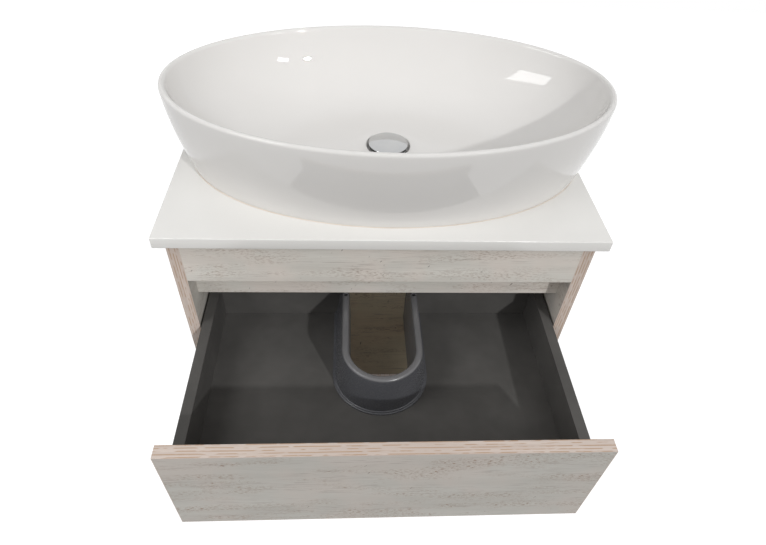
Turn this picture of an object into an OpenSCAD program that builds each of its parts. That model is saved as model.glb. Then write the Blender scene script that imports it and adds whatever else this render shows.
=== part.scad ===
// Wall-hung vanity unit with an oval vessel basin and one drawer.
// Millimetres. X runs to the user's right, Y into the wall, Z up.
// The origin is on the wall plane, midway between the two wall plate holes.
// The drawer is drawn pulled out by its full travel.

/* [Countertop] */
// Countertop width
slab_w = 650; // [630:5:800]
// Countertop depth, front edge to wall
slab_d = 450; // [440:5:520]
// Countertop thickness
slab_t = 18; // [16:1:30]
// Broken arris along the countertop's edges
slab_arris = 1.2; // [0.6:0.1:2]
// Height of the countertop's top above the wall plate holes
hang_drop = 70; // [68:1:80]

/* [Carcass] */
// Outside width across the two side panels
body_w = 624; // [600:2:640]
// Height of the side panels
body_h = 338; // [330:1:400]
// Set-back of the carcass behind the countertop's front edge
body_set = 14; // [4:1:20]
// Board thickness of the carcass and the drawer front
panel_t = 18; // [16:1:19]
// Thickness of the edge banding
band_t = 1; // [0.6:0.1:2]
// Height of the fascia under the countertop
fascia_h = 78; // [70:1:90]
// Height of the grip rail behind the finger gap
grip_h = 136; // [126:1:146]
// Set-back of the grip rail behind the carcass front
grip_set = 32; // [30:1:38]
// Height of the hanging rail
hang_rail_h = 80; // [76:1:110]
// Height of the lower rear rail
rear_rail_h = 60; // [50:1:90]
// Space between the rear rails and the wall
wall_space = 15; // [13:1:25]
// Dowel diameter
dowel_d = 8; // [6:1:10]
// Dowel length
dowel_l = 32; // [28:1:34]
// Cam disc diameter
cam_d = 15; // [12:1:16]
// Distance from a board's end to its cam disc centre
cam_set = 34; // [24:1:40]

/* [Drawer] */
// How far the drawer opens
travel = 264; // [230:1:270]
// Height of the drawer front
front_h = 191; // [180:1:200]
// Gap at each side of the drawer front
front_gap = 1.5; // [1:0.5:3]
// Finger gap between the fascia and the drawer front
finger_gap = 40; // [30:1:45]
// Gap between the drawer box and each side panel
box_gap = 4; // [3.8:0.1:5]
// Board thickness of the drawer box
box_t = 16; // [14:1:16]
// Height of the drawer box sides
box_h = 90; // [80:1:100]
// Length of the drawer box behind the front
box_l = 345; // [335:1:348]
// Drop from the drawer front's top edge to the box sides
box_drop = 59; // [52:1:64]
// Drawer bottom thickness
floor_t = 8; // [8:1:10]
// Height of the drawer bottom above the lower edge of the box sides
floor_rise = 13; // [13:0.5:15]
// Depth of the grooves that hold the drawer bottom
groove = 6; // [4:1:8]

/* [Siphon collar] */
// Width over the collar's top rim
collar_w = 126; // [120:1:134]
// Width of the top rim
collar_rim = 11; // [10:0.5:13]
// Height of the collar above the drawer bottom
collar_h = 88; // [76:1:92]
// How far each long side leans out from rim to foot
collar_flare = 12; // [6:1:16]
// Distance from the drawer box's rear face to the collar's front end
collar_l = 226; // [215:1:235]
// Width of the free passage at the level of the drawer bottom
passage_w = 97; // [90:1:100]
// Wall thickness of the collar moulding
collar_wall = 2.5; // [2:0.5:3]

/* [Basin] */
// Basin length over the rim
basin_l = 686; // [600:2:700]
// Basin depth, front to back, over the rim
basin_d = 417; // [390:1:425]
// Basin height
basin_h = 131; // [120:1:150]
// Distance of the basin's centre to the right of the middle
basin_x = 11; // [0:1:15]
// Distance of the basin's centre behind the countertop's front edge
basin_set = 219; // [215:1:225]
// Thickness of the rounded rim
rim_t = 10; // [8:0.5:13]
// Foot size as a share of the rim size
foot_share = 0.922; // [0.88:0.002:0.94]
// Width of the unglazed foot ring
foot_w = 14; // [12:1:20]
// Thickness of the ceramic bottom
bowl_t = 17; // [15:0.5:20]
// Thickness of the sealant under the foot
seal_t = 1; // [0.6:0.1:1.5]

/* [Waste] */
// Diameter of the pop-up cap
cap_d = 65; // [60:1:67]
// Lift of the pop-up cap when open
cap_lift = 5; // [4:0.5:6]
// Diameter of the waste hole in basin and countertop
waste_hole = 46; // [44:1:48]
// Outside diameter of the threaded waste tail
tail_d = 41.9; // [40:0.1:42]
// Outside diameter of the trap pipes
pipe_d = 32; // [30:1:33]
// Outside diameter of the bottle trap's cup
cup_d = 66; // [62:1:70]
// Height of the trap outlet below the wall plate holes
outlet_drop = 75; // [60:1:90]

/* [Runners] */
// Length of the cabinet rail
rail_l = 350; // [340:1:355]
// Length of the ball cage
cage_l = 66; // [60:1:68]
// Steel thickness of the rails
rail_t = 1.5; // [1.2:0.1:1.6]
// Ball diameter
ball_d = 4.9; // [4.5:0.1:4.9]
// Swing of the release levers, degrees
lever_swing = 12; // [8:1:14]

/* [Wall fixing] */
// Distance between the two wall plate holes
plate_pitch = 528; // [500:2:536]
// Diameter of the wall plate holes
plate_hole = 8.5; // [6:0.5:9]

/* [Hidden] */

fit = 0.05;        // clearance at each side of a plain fit
play = 0.3;        // clearance at each side of a loose fit
hole_fn = 48;      // facets of a small round
bowl_fn = 180;     // facets of the basin

// Levels and planes of the carcass
slab_z = hang_drop - slab_t;
front_y = -slab_d;
body_y = front_y + body_set;
body_z = slab_z - body_h;
inner_w = body_w - 2*panel_t;
bottom_z = body_z + panel_t;
grip_y = body_y + grip_set;
rail_y = -wall_space - panel_t;

// Drawer, pulled out
pull_y = body_y - travel;
box_y = pull_y + panel_t;
box_end = box_y + box_l;
front_top = slab_z - fascia_h - finger_gap;
box_top = front_top - box_drop;
box_z = box_top - box_h;
floor_z = box_z + floor_rise;
floor_top = floor_z + floor_t;
box_out = inner_w/2 - box_gap;
box_in = box_out - box_t;

// Board colours
laminate = [0.72, 0.70, 0.67];
oak = [0.80, 0.73, 0.66];
anthracite = [0.27, 0.27, 0.26];
slate = [0.32, 0.33, 0.36];
steel = [0.66, 0.67, 0.68];
chrome = [0.78, 0.79, 0.80];
rubber = [0.12, 0.12, 0.12];
glaze = [0.93, 0.93, 0.91];

// A board given by its lowest corner and its size
module board(x, y, z, w, d, h) { translate([x, y, z]) cube([w, d, h]); }

// Children at both sides, mirrored across the middle plane
module pair() {
    children();
    mirror([1, 0, 0]) children();
}

// A round bar along X, from x0 to x1
module bar_x(x0, x1, y, z, d) {
    translate([x0, y, z]) rotate([0, 90, 0]) cylinder(d = d, h = x1 - x0, $fn = hole_fn);
}

// A round bar along Y, from y0 to y1
module bar_y(x, y0, y1, z, d) {
    translate([x, y0, z]) rotate([-90, 0, 0]) cylinder(d = d, h = y1 - y0, $fn = hole_fn);
}

// A turned ring around Z: outer and inner diameter, bottom and height
module ring(od, id, z, h) {
    translate([0, 0, z]) difference() {
        cylinder(d = od, h = h, $fn = 72);
        translate([0, 0, -1]) cylinder(d = id, h = h + 2, $fn = 72);
    }
}

// ---------------------------------------------------------------- countertop
waste_y = front_y + basin_set;
module at_waste() { translate([basin_x, waste_y, 0]) children(); }

bracket_leg = 20;
bracket_w = 24;
bracket_t = 2;
bracket_front = 150;   // from the carcass front
bracket_back = 120;    // from the wall
bracket_ys = [body_y + bracket_front, -bracket_back];
slab_screw_d = 4;
slab_screw_l = 12;

module countertop() {
    color(glaze) difference() {
        hull() {
            board(-slab_w/2 + slab_arris, front_y + slab_arris, slab_z,
                slab_w - 2*slab_arris, slab_d - slab_arris, slab_t);
            board(-slab_w/2, front_y, slab_z + slab_arris,
                slab_w, slab_d, slab_t - 2*slab_arris);
        }
        at_waste() translate([0, 0, slab_z - 1])
            cylinder(d = waste_hole, h = slab_t + 2, $fn = 72);
        pair() slab_screw_places() cylinder(d = slab_screw_d + 2*fit,
            h = slab_screw_l - bracket_t + fit, $fn = hole_fn);
    }
}

// Where the bracket screws enter the countertop, left side
module slab_screw_places() {
    for (y = bracket_ys)
        translate([-inner_w/2 + bracket_leg*0.6, y, slab_z]) children();
}

// Where the bracket screws enter a side panel, left side
module bracket_panel_places() {
    for (y = bracket_ys)
        translate([-inner_w/2, y, slab_z - bracket_leg*0.6]) rotate([0, -90, 0]) children();
}

module slab_brackets() {
    color(steel) pair() difference() {
        for (y = bracket_ys) {
            board(-inner_w/2, y - bracket_w/2, slab_z - bracket_leg,
                bracket_t, bracket_w, bracket_leg);
            board(-inner_w/2, y - bracket_w/2, slab_z - bracket_t,
                bracket_leg, bracket_w, bracket_t);
        }
        slab_screw_places() translate([0, 0, -bracket_t - 1])
            cylinder(d = slab_screw_d + 2*play, h = bracket_t + 2, $fn = hole_fn);
        bracket_panel_places() translate([0, 0, -bracket_t - 1])
            cylinder(d = slab_screw_d + 2*play, h = bracket_t + 2, $fn = hole_fn);
    }
}

// A pan-head screw whose head seats on z = 0 and whose shank points up
module screw(d, l, head_d, head_h) {
    cylinder(d = d, h = l, $fn = hole_fn);
    difference() {
        translate([0, 0, -head_h]) cylinder(d = head_d, h = head_h, $fn = hole_fn);
        for (a = [0, 90]) rotate([0, 0, a])
            translate([-head_d*0.3, -0.4, -head_h - 1]) cube([head_d*0.6, 0.8, 1 + head_h*0.6]);
    }
}

module slab_screws() {
    color(steel) pair() {
        slab_screw_places() translate([0, 0, -bracket_t])
            screw(slab_screw_d, slab_screw_l, 8, 2.2);
        bracket_panel_places() translate([0, 0, -bracket_t])
            screw(slab_screw_d, slab_screw_l, 8, 2.2);
    }
}

// --------------------------------------------------------------------- basin
// The basin is turned in the Y direction and stretched along X into an oval.
basin_z = hang_drop + seal_t;
stretch = basin_l/basin_d;
rim_r = basin_d/2;
foot_r = rim_r*foot_share;
lip_r = rim_t/2;
wall_curve = 1.6;      // how fast the outer wall turns upright
bowl_curve = 4;        // how late the bowl turns up into its wall
well_r = cap_d/2 + 4.5;
boss_r = 38;
shell_t = 10;
waste_lip = 9.5;       // ceramic left under the waste flange
lip_z = basin_h - lip_r;

// Outer wall radius at height z, and bowl height at radius r
function wall_r(z) = foot_r + (rim_r - foot_r)*(1 - pow(1 - z/lip_z, wall_curve));
function bowl_z(r) =
    bowl_t + (lip_z - bowl_t)*pow((r - well_r)/(rim_r - rim_t - well_r), bowl_curve);

wall_points = [for (i = [0:8]) let (z = lip_z*i/8) [wall_r(z), z]];
lip_points = [for (a = [30:30:150]) [rim_r - lip_r + lip_r*cos(a), lip_z + lip_r*sin(a)]];
bowl_points = [for (i = [14:-1:0])
    let (r = well_r + (rim_r - rim_t - well_r)*i/14) [r, bowl_z(r)]];
hollow_r = foot_r - foot_w;
hollow_points = [for (i = [0:8])
    let (r = boss_r + 12 + (hollow_r + 8 - boss_r - 12)*i/8) [r, bowl_z(r) - shell_t]];

// Turned in four quarters, which keeps the stretched surfaces accurate
module oval() {
    for (k = [0:3]) scale([stretch, 1, 1]) rotate([0, 0, 90*k])
        rotate_extrude(angle = 90, $fn = bowl_fn) children();
}

module basin() {
    color(glaze) at_waste() translate([0, 0, basin_z]) difference() {
        oval() polygon(concat([[0, 0]], wall_points, lip_points, bowl_points, [[0, bowl_t]]));
        oval() polygon(concat([[boss_r + 12, -1]], hollow_points, [[hollow_r, -1]]));
        translate([0, 0, -1]) cylinder(d = waste_hole, h = bowl_t + 2, $fn = 72);
        translate([0, 0, waste_lip]) cylinder(r1 = cap_d/2, r2 = well_r + 0.5,
            h = bowl_t - waste_lip + 0.5, $fn = 72);
    }
}

// Two flat beads: under the foot ring and under the boss around the waste
module basin_sealant() {
    color([0.85, 0.72, 0.60]) at_waste() translate([0, 0, hang_drop]) {
        oval() translate([hollow_r + 2, 0]) square([foot_w - 1.6, seal_t]);
        ring(2*boss_r, waste_hole + 2, 0, seal_t);
    }
}

// --------------------------------------------------------------------- waste
flange_t = 2.5;
waste_seal_t = 2;
flange_z = basin_z + waste_lip + waste_seal_t;
flange_top = flange_z + flange_t;
flange_d = cap_d - 3;
tail_id = tail_d - 4.9;
tail_l = 96;
tail_z = flange_top - tail_l;
hub_d = 22;
cartridge_d = 18;
hub_z = flange_top - 34;
hub_h = 8;
hub_arm = 3;
stem_d = 9.8;
stem_l = 38;
cap_z = flange_top + cap_lift + play;
dome_h = 5;
cap_hollow = 2;

// Click-clack cap: a shallow dome with a rolled edge on a stem, drawn open
module drain_cap() {
    dome_r = (pow(cap_d/2 - 1, 2) + pow(dome_h - 1.5, 2))/(2*(dome_h - 1.5));
    color(chrome) at_waste() translate([0, 0, cap_z]) rotate_extrude($fn = 96)
        polygon(concat([[0, -stem_l], [stem_d/2, -stem_l], [stem_d/2, cap_hollow],
            [cap_d/2 - 7, cap_hollow], [cap_d/2 - 4, 0], [cap_d/2 - 0.8, 0], [cap_d/2, 0.6]],
            [for (i = [0:8]) let (r = (cap_d/2 - 1)*(1 - i/8))
                [r, dome_h - dome_r + sqrt(dome_r*dome_r - r*r)]]));
}

module cap_seal() {
    color(rubber) at_waste() ring(cap_d - 20, cap_d - 28, cap_z, cap_hollow);
}

// Sealed latch that holds the cap down until it is pressed again
module click_cartridge() {
    color([0.9, 0.9, 0.88]) at_waste() difference() {
        union() {
            translate([0, 0, hub_z - 14]) cylinder(d = cartridge_d, h = 30, $fn = 72);
            translate([0, 0, hub_z + hub_h]) cylinder(d = hub_d, h = 2, $fn = 72);
        }
        translate([0, 0, cap_z - stem_l - cap_lift - 1])
            cylinder(d = stem_d + 2*fit, h = stem_l, $fn = 72);
    }
}

module waste_body() {
    color(chrome) at_waste() difference() {
        union() {
            translate([0, 0, flange_z]) cylinder(d = flange_d, h = flange_t, $fn = 96);
            translate([0, 0, tail_z]) cylinder(d = tail_d, h = tail_l - 1, $fn = 72);
        }
        difference() {
            translate([0, 0, tail_z - 1]) cylinder(d = tail_id, h = tail_l + 2, $fn = 72);
            translate([0, 0, hub_z]) cylinder(d = hub_d, h = hub_h, $fn = 72);
            for (a = [45:90:315]) rotate([0, 0, a])
                translate([0, -hub_arm/2, hub_z]) cube([tail_d/2, hub_arm, hub_h]);
        }
        translate([0, 0, hub_z - 1])
            cylinder(d = cartridge_d + 2*fit, h = hub_h + 2, $fn = 72);
    }
}

module waste_seal() {
    color(rubber) at_waste()
        ring(flange_d - 2, tail_d + 2*play, flange_z - waste_seal_t, waste_seal_t);
}

gasket_h = 6;
nut_h = 10;
module waste_gasket() {
    color(rubber) at_waste()
        ring(waste_hole + 14, tail_d + 2*play, slab_z - gasket_h, gasket_h);
}

module waste_nut() {
    color(chrome) at_waste() translate([0, 0, slab_z - gasket_h - nut_h]) difference() {
        cylinder(d = waste_hole + 14, h = nut_h, $fn = 6);
        translate([0, 0, -1]) cylinder(d = tail_d + 2*fit, h = nut_h + 2, $fn = 72);
    }
}

// ---------------------------------------------------------------------- trap
trap_wall = 1.8;
pipe_id = pipe_d - 2*trap_wall;
washer_t = 3;
outlet_z = -outlet_drop;
dome_rise = 28;        // from the outlet's centre to the top of the body
cup_drop = 34;         // from the outlet's centre to the top of the cup
cup_h = 78;
dip = 26;              // water depth under the inlet pipe
gland_h = 10;
shoulder_h = 8;
body_top = outlet_z + dome_rise;
cup_top = outlet_z - cup_drop;
cup_bottom = cup_top - cup_h;
thread_h = 12;
nut_wall = 4;
inlet_end = cup_bottom + dip;
socket_l = 24;
body_d = cup_d - 2*trap_wall - 2*fit;
union_nut_h = 16;

// Union nut: a knurled cap that holds a washer on the end of a threaded tube.
// It opens upward, with its closed collar around the pipe at z = 0.
module union_nut(thread_d) {
    difference() {
        cylinder(d = thread_d + 2*nut_wall, h = union_nut_h, $fn = 16*2);
        translate([0, 0, -1]) cylinder(d = pipe_d + 2*play, h = union_nut_h, $fn = 72);
        translate([0, 0, 2.5]) cylinder(d = thread_d + 2*fit, h = union_nut_h, $fn = 72);
    }
}

module trap_inlet_pipe() {
    color(chrome) at_waste() {
        ring(pipe_d, pipe_id, inlet_end, tail_z - washer_t - inlet_end);
        ring(tail_d - 1, pipe_id, tail_z - washer_t - 2, 2);
    }
}

module trap_inlet_nut() {
    color(chrome) at_waste() translate([0, 0, tail_z - washer_t - 2 - 2.5 - fit])
        union_nut(tail_d);
}

// Bottle body: closed dome with the inlet gland on top and the outlet at the back
module trap_body() {
    color(chrome) at_waste() difference() {
        union() {
            translate([0, 0, cup_top - thread_h])
                cylinder(d = body_d, h = body_top - shoulder_h - cup_top + thread_h, $fn = 96);
            translate([0, 0, body_top - shoulder_h])
                cylinder(r1 = body_d/2, r2 = pipe_d/2 + 6, h = shoulder_h, $fn = 96);
            translate([0, 0, body_top]) cylinder(d = pipe_d + 12, h = gland_h,
                $fn = 72);
            bar_y(0, 0, cup_d/2 + socket_l, outlet_z, pipe_d + 8);
        }
        difference() {
            translate([0, 0, cup_top - thread_h - 1])
                cylinder(d = body_d - 2*trap_wall, h = body_top - shoulder_h - cup_top + thread_h,
                    $fn = 96);
            bar_y(0, cup_d/2 - 8, cup_d/2 + socket_l, outlet_z, pipe_d + 8);
        }
        translate([0, 0, cup_top]) cylinder(d = pipe_d + 2*fit,
            h = body_top + gland_h + 1 - cup_top, $fn = 72);
        bar_y(0, cup_d/2 - 9, cup_d/2 + socket_l + 1, outlet_z, pipe_d + 2*fit);
        bar_y(0, 0, cup_d/2, outlet_z, pipe_id);
    }
}

module trap_cup() {
    color(chrome) at_waste() difference() {
        union() {
            translate([0, 0, cup_bottom + 6]) cylinder(d = cup_d, h = cup_top - cup_bottom - 6,
                $fn = 96);
            translate([0, 0, cup_bottom]) cylinder(r1 = cup_d/2 - 6, r2 = cup_d/2, h = 6,
                $fn = 96);
            translate([0, 0, cup_top - thread_h]) cylinder(d = cup_d + 5, h = thread_h,
                $fn = 24);
        }
        translate([0, 0, cup_bottom + 3])
            cylinder(d = body_d - 6, h = cup_top - cup_bottom, $fn = 96);
        translate([0, 0, cup_top - thread_h - trap_wall])
            cylinder(d = body_d + 2*fit, h = thread_h + trap_wall + 1, $fn = 96);
    }
}

// Flat washers: at the tail, under the cup's thread and at the outlet socket
module trap_seals() {
    color(rubber) at_waste() {
        ring(tail_d - 1, pipe_id + 2, tail_z - washer_t, washer_t);
        ring(body_d, body_d - 5, cup_top - thread_h - trap_wall, trap_wall);
        translate([0, cup_d/2 + socket_l, outlet_z]) rotate([-90, 0, 0])
            ring(pipe_d + 7, pipe_d + 2*fit, 0, washer_t);
    }
}

module outlet_nut() {
    color(chrome) at_waste()
        translate([0, cup_d/2 + socket_l + washer_t + 2.5 + fit, outlet_z])
            rotate([90, 0, 0]) union_nut(pipe_d + 8);
}

module outlet_pipe() {
    color(chrome) translate([basin_x, waste_y + cup_d/2, outlet_z]) rotate([-90, 0, 0])
        ring(pipe_d, pipe_id, 0, -waste_y - cup_d/2);
}

module wall_rosette() {
    color(chrome) translate([basin_x, 0, outlet_z]) rotate([90, 0, 0]) difference() {
        cylinder(d1 = 2*pipe_d + 8, d2 = pipe_d + 12, h = 10, $fn = 96);
        translate([0, 0, -1]) cylinder(d = pipe_d + 2*fit, h = 12, $fn = 72);
    }
}

// ------------------------------------------------------------------- carcass
dowel_in = 12;         // share of a dowel that sits in the side panel
cam_h = 13;
cam_bolt_d = 6;
cam_bolt_in = 11;
plate_w = 46;
hook_z = 32;
hook_w = 18;
hook_t = 2.5;
hanger_w = 44;
hanger_d = 42;
hanger_h = 54;
hanger_screw_d = 4;

fascia_mid = body_y + panel_t/2;
grip_mid = grip_y + panel_t/2;
rear_mid = rail_y + panel_t/2;
hang_z = slab_z - hang_rail_h;

// Dowel places as [y, z]: fascia, grip rail, hanging rail, rear rail, bottom
dowel_places = [
    [fascia_mid, slab_z - 18], [fascia_mid, slab_z - fascia_h + 18],
    [grip_mid, slab_z - 25], [grip_mid, slab_z - grip_h + 25],
    [rear_mid, hang_z + 14], [rear_mid, hang_z + 44],
    [rear_mid, bottom_z + 15], [rear_mid, bottom_z + rear_rail_h - 15],
    [body_y + 50, body_z + panel_t/2], [(body_y - 60)/2, body_z + panel_t/2],
    [-60, body_z + panel_t/2]];

// Cam places in upright rails as [y of the middle plane, z]
cam_rail_places = [
    [fascia_mid, slab_z - fascia_h/2], [grip_mid, slab_z - grip_h/2],
    [rear_mid, hang_z + 29], [rear_mid, bottom_z + rear_rail_h/2]];
// Cam places under the bottom panel along Y
cam_bottom_ys = [body_y + 100, -110];

module dowel_bars(gap) {
    for (p = dowel_places)
        bar_x(-inner_w/2 - dowel_in - gap, -inner_w/2 - dowel_in + dowel_l + gap,
            p[0], p[1], dowel_d + 2*gap);
}

module cam_disc_bars(gap) {
    for (p = cam_rail_places)
        bar_y(-inner_w/2 + cam_set, p[0] + panel_t/2 - cam_h - gap, p[0] + panel_t/2 + 4*gap,
            p[1], cam_d + 2*gap);
    for (y = cam_bottom_ys)
        translate([-inner_w/2 + cam_set, y, body_z - 4*gap])
            cylinder(d = cam_d + 2*gap, h = cam_h + 5*gap, $fn = hole_fn);
}

module cam_bolt_bars(gap) {
    for (p = concat(cam_rail_places, [for (y = cam_bottom_ys) [y, body_z + panel_t/2]]))
        bar_x(-inner_w/2 - cam_bolt_in - gap, -inner_w/2 + cam_set - cam_d/2 - fit + gap,
            p[0], p[1], cam_bolt_d + 2*gap);
}

// Bores in the horizontal boards and rails
module joint_bores() {
    pair() {
        dowel_bars(fit);
        cam_disc_bars(fit);
        cam_bolt_bars(fit);
    }
}

// Where the hanger's fixing screws enter a side panel, left side
module hanger_fixing_places() {
    for (z = [hook_z - 12, hook_z - 36])
        translate([-inner_w/2, rail_y - hanger_d/2, z]) rotate([0, -90, 0]) children();
}

// Where the cabinet rail's screws enter a side panel, left side
rail_screw_d = 3.4;
rail_screw_l = 14;
rail_hole_z = box_z + 14;
rail_y0 = body_y + panel_t + 3;
module rail_screw_places() {
    for (y = [rail_y0 + 22, rail_y0 + rail_l/2, rail_y0 + rail_l - 22])
        translate([-inner_w/2, y, rail_hole_z]) rotate([0, -90, 0]) children();
}

module side_panel() {
    color(laminate) difference() {
        board(-body_w/2, body_y + band_t, body_z, panel_t, -body_y - band_t, body_h);
        dowel_bars(fit);
        cam_bolt_bars(fit);
        bracket_panel_places() cylinder(d = slab_screw_d + 2*fit,
            h = slab_screw_l - bracket_t + fit, $fn = hole_fn);
        hanger_fixing_places() cylinder(d = hanger_screw_d + 2*fit, h = 12, $fn = hole_fn);
        rail_screw_places() cylinder(d = rail_screw_d + 2*fit,
            h = rail_screw_l - rail_t + fit, $fn = hole_fn);
    }
}
module side_panel_left() { side_panel(); }
module side_panel_right() { mirror([1, 0, 0]) side_panel(); }

// Oak bands on the front edges of the side panels and the bottom panel
module side_edging() {
    color(oak) {
        pair() board(-body_w/2, body_y, body_z, panel_t, band_t, body_h);
        board(-inner_w/2, body_y, body_z, inner_w, band_t, panel_t);
    }
}

module fascia() {
    color(laminate) difference() {
        board(-inner_w/2, body_y, slab_z - fascia_h, inner_w, panel_t, fascia_h);
        joint_bores();
    }
}

module grip_rail() {
    color(laminate) difference() {
        board(-inner_w/2, grip_y, slab_z - grip_h, inner_w, panel_t, grip_h);
        joint_bores();
    }
}

module hanging_rail() {
    color(laminate) difference() {
        board(-inner_w/2, rail_y, hang_z, inner_w, panel_t, hang_rail_h);
        joint_bores();
        pair() board(-plate_pitch/2 - hook_w/2 - 2, rail_y - 1, hook_z - 2,
            hook_w + 4, panel_t + 2, hook_t + 4);
    }
}

module rear_rail() {
    color(laminate) difference() {
        board(-inner_w/2, rail_y, bottom_z, inner_w, panel_t, rear_rail_h);
        joint_bores();
    }
}

module bottom_panel() {
    color(laminate) difference() {
        board(-inner_w/2, body_y + band_t, body_z, inner_w, -wall_space - body_y - band_t,
            panel_t);
        joint_bores();
    }
}

module dowels() { color([0.85, 0.74, 0.56]) pair() dowel_bars(0); }
module cam_discs() { color(steel) pair() cam_disc_bars(0); }
module cam_bolts() { color(steel) pair() cam_bolt_bars(0); }

// --------------------------------------------------------------- wall fixing
hanger_wall = 2;
lip_y = -8;            // front face of the wall plate's lip
plate_t = 2;
hook_tail = 22;

// Suspension box inside the corner of a side panel and the hanging rail
module hanger_boxes() {
    color([0.85, 0.85, 0.84]) pair() difference() {
        board(-inner_w/2, rail_y - hanger_d, hook_z + hook_t + 2 - hanger_h,
            hanger_w, hanger_d, hanger_h);
        board(-inner_w/2 + hanger_wall, rail_y - hanger_d + hanger_wall,
            hook_z + hook_t + 2 - hanger_h + hanger_wall, hanger_w - 2*hanger_wall,
            hanger_d, hanger_h - 2*hanger_wall);
        translate([-plate_pitch/2, rail_y - hanger_d - 1, hook_z - 10]) rotate([-90, 0, 0])
            cylinder(d = 6 + 2*fit, h = hanger_wall + 2, $fn = hole_fn);
        hanger_fixing_places() translate([0, 0, -hanger_wall - 1])
            cylinder(d = hanger_screw_d + 2*play, h = hanger_wall + 2, $fn = hole_fn);
    }
}

// Steel hook over the wall plate's lip, with its tail inside the box
module hanger_hooks() {
    tip = lip_y + plate_t + play;
    back = rail_y - hanger_d/2 + 4;
    color(steel) pair() translate([-plate_pitch/2 + hook_w/2, 0, 0]) rotate([90, 0, -90])
        linear_extrude(hook_w) polygon([
            [-back, hook_z - hook_tail], [-back, hook_z + hook_t],
            [-tip - hook_t, hook_z + hook_t], [-tip - hook_t, hook_z - 12],
            [-tip, hook_z - 12], [-tip, hook_z],
            [-back - hook_t, hook_z], [-back - hook_t, hook_z - hook_tail]]);
}

// Adjusting screw against the hook's tail, and the two fixing screws
module hanger_screws() {
    tail = rail_y - hanger_d/2 + 4;
    color(steel) pair() {
        bar_y(-plate_pitch/2, rail_y - hanger_d - 1, tail, hook_z - 10, 6);
        bar_y(-plate_pitch/2, rail_y - hanger_d - 3, rail_y - hanger_d - 1, hook_z - 10, 9);
        hanger_fixing_places() translate([0, 0, -hanger_wall])
            screw(hanger_screw_d, 12, 8, 2.2);
    }
}

// Joggled steel plate that is screwed to the wall
module wall_plates() {
    color(steel) pair() difference() {
        translate([-plate_pitch/2 + plate_w/2, 0, 0]) rotate([90, 0, -90])
            linear_extrude(plate_w) polygon([
                [0, -hook_z/2], [0, hook_z/2], [-lip_y - plate_t, hook_z/2],
                [-lip_y - plate_t, hook_z], [-lip_y, hook_z], [-lip_y, hook_z/2 - plate_t],
                [plate_t, hook_z/2 - plate_t], [plate_t, -hook_z/2]]);
        bar_y(-plate_pitch/2, -plate_t - 1, 1, 0, plate_hole);
    }
}

// ------------------------------------------------------------------- runners
// Undermount runner: a cabinet rail screwed to the side panel passes under the
// drawer side, and its head carries a ball cage inside the drawer rail.
rail_u = box_gap + box_t + 10;       // rail centre, inward from the side panel
rail_half = 7;                       // half width of the drawer rail
head_half = 3.2;
cage_half = 4.9;
profile_under = floor_z - rail_t;
head_top = profile_under - ball_d - 2*fit;
web_top = box_z - 2;
flange_h = 34;
ball_n = 6;
ball_z = head_top + fit + ball_d/2;
cage_y = box_end - cage_l - 7;
cage_t = 1.6;

// Section in (inward, up), drawn at the left side panel and run along Y
module along_y(y0, length) {
    translate([-inner_w/2, y0 + length, 0]) rotate([90, 0, 0])
        linear_extrude(length) children();
}

module cabinet_rail() {
    color(steel) difference() {
        along_y(rail_y0, rail_l) polygon([
            [0, web_top - rail_t], [0, web_top - rail_t + flange_h],
            [rail_t, web_top - rail_t + flange_h], [rail_t, web_top],
            [rail_u - rail_t/2, web_top], [rail_u - rail_t/2, head_top - rail_t],
            [rail_u - head_half, head_top - rail_t], [rail_u - head_half, head_top],
            [rail_u + head_half, head_top], [rail_u + head_half, head_top - rail_t],
            [rail_u + rail_t/2, head_top - rail_t], [rail_u + rail_t/2, web_top - rail_t]]);
        rail_screw_places() translate([0, 0, -rail_t - 1])
            cylinder(d = rail_screw_d + 2*play, h = rail_t + 2, $fn = hole_fn);
    }
}
module cabinet_rail_left() { cabinet_rail(); }
module cabinet_rail_right() { mirror([1, 0, 0]) cabinet_rail(); }

module rail_screws() {
    color(steel) pair() rail_screw_places() translate([0, 0, -rail_t])
        screw(rail_screw_d, rail_screw_l, 7, 1.4);
}

module ball_spots() {
    for (i = [0:ball_n - 1])
        translate([-inner_w/2 + rail_u, cage_y + cage_l*(i + 0.5)/ball_n, ball_z]) children();
}

module ball_cage() {
    skirt = 4;
    color([0.2, 0.45, 0.3]) difference() {
        along_y(cage_y, cage_l) polygon([
            [rail_u - cage_half, ball_z + cage_t/2], [rail_u + cage_half, ball_z + cage_t/2],
            [rail_u + cage_half, ball_z - skirt], [rail_u + cage_half - 0.8, ball_z - skirt],
            [rail_u + cage_half - 0.8, ball_z - cage_t/2],
            [rail_u - cage_half + 0.8, ball_z - cage_t/2],
            [rail_u - cage_half + 0.8, ball_z - skirt], [rail_u - cage_half, ball_z - skirt]]);
        ball_spots() translate([0, 0, -2]) cylinder(d = ball_d + 2*fit, h = 4, $fn = hole_fn);
    }
}
module ball_cage_left() { ball_cage(); }
module ball_cage_right() { mirror([1, 0, 0]) ball_cage(); }

module rail_balls() { color(steel) ball_spots() sphere(d = ball_d, $fn = 32); }
module rail_balls_left() { rail_balls(); }
module rail_balls_right() { mirror([1, 0, 0]) rail_balls(); }

// Lock clip and its lever, near the front end of the drawer rail
clip_l = 60;
clip_w = 24;
clip_t = 2.5;
pivot_d = 4;
pivot_u = rail_u + rail_half + 9;
pivot_y = box_y + 40;
nose_y = 14;           // nose ahead of the pivot
nose_w = 4;
lever_h = 5.5;
lever_z = floor_z - clip_t - 0.5 - lever_h;
clip_screw_d = 3;
clip_screw_l = 9;
clip_screw_in = 11;    // inward from the pivot
clip_screw_off = 17;   // ahead of and behind the pivot

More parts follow.
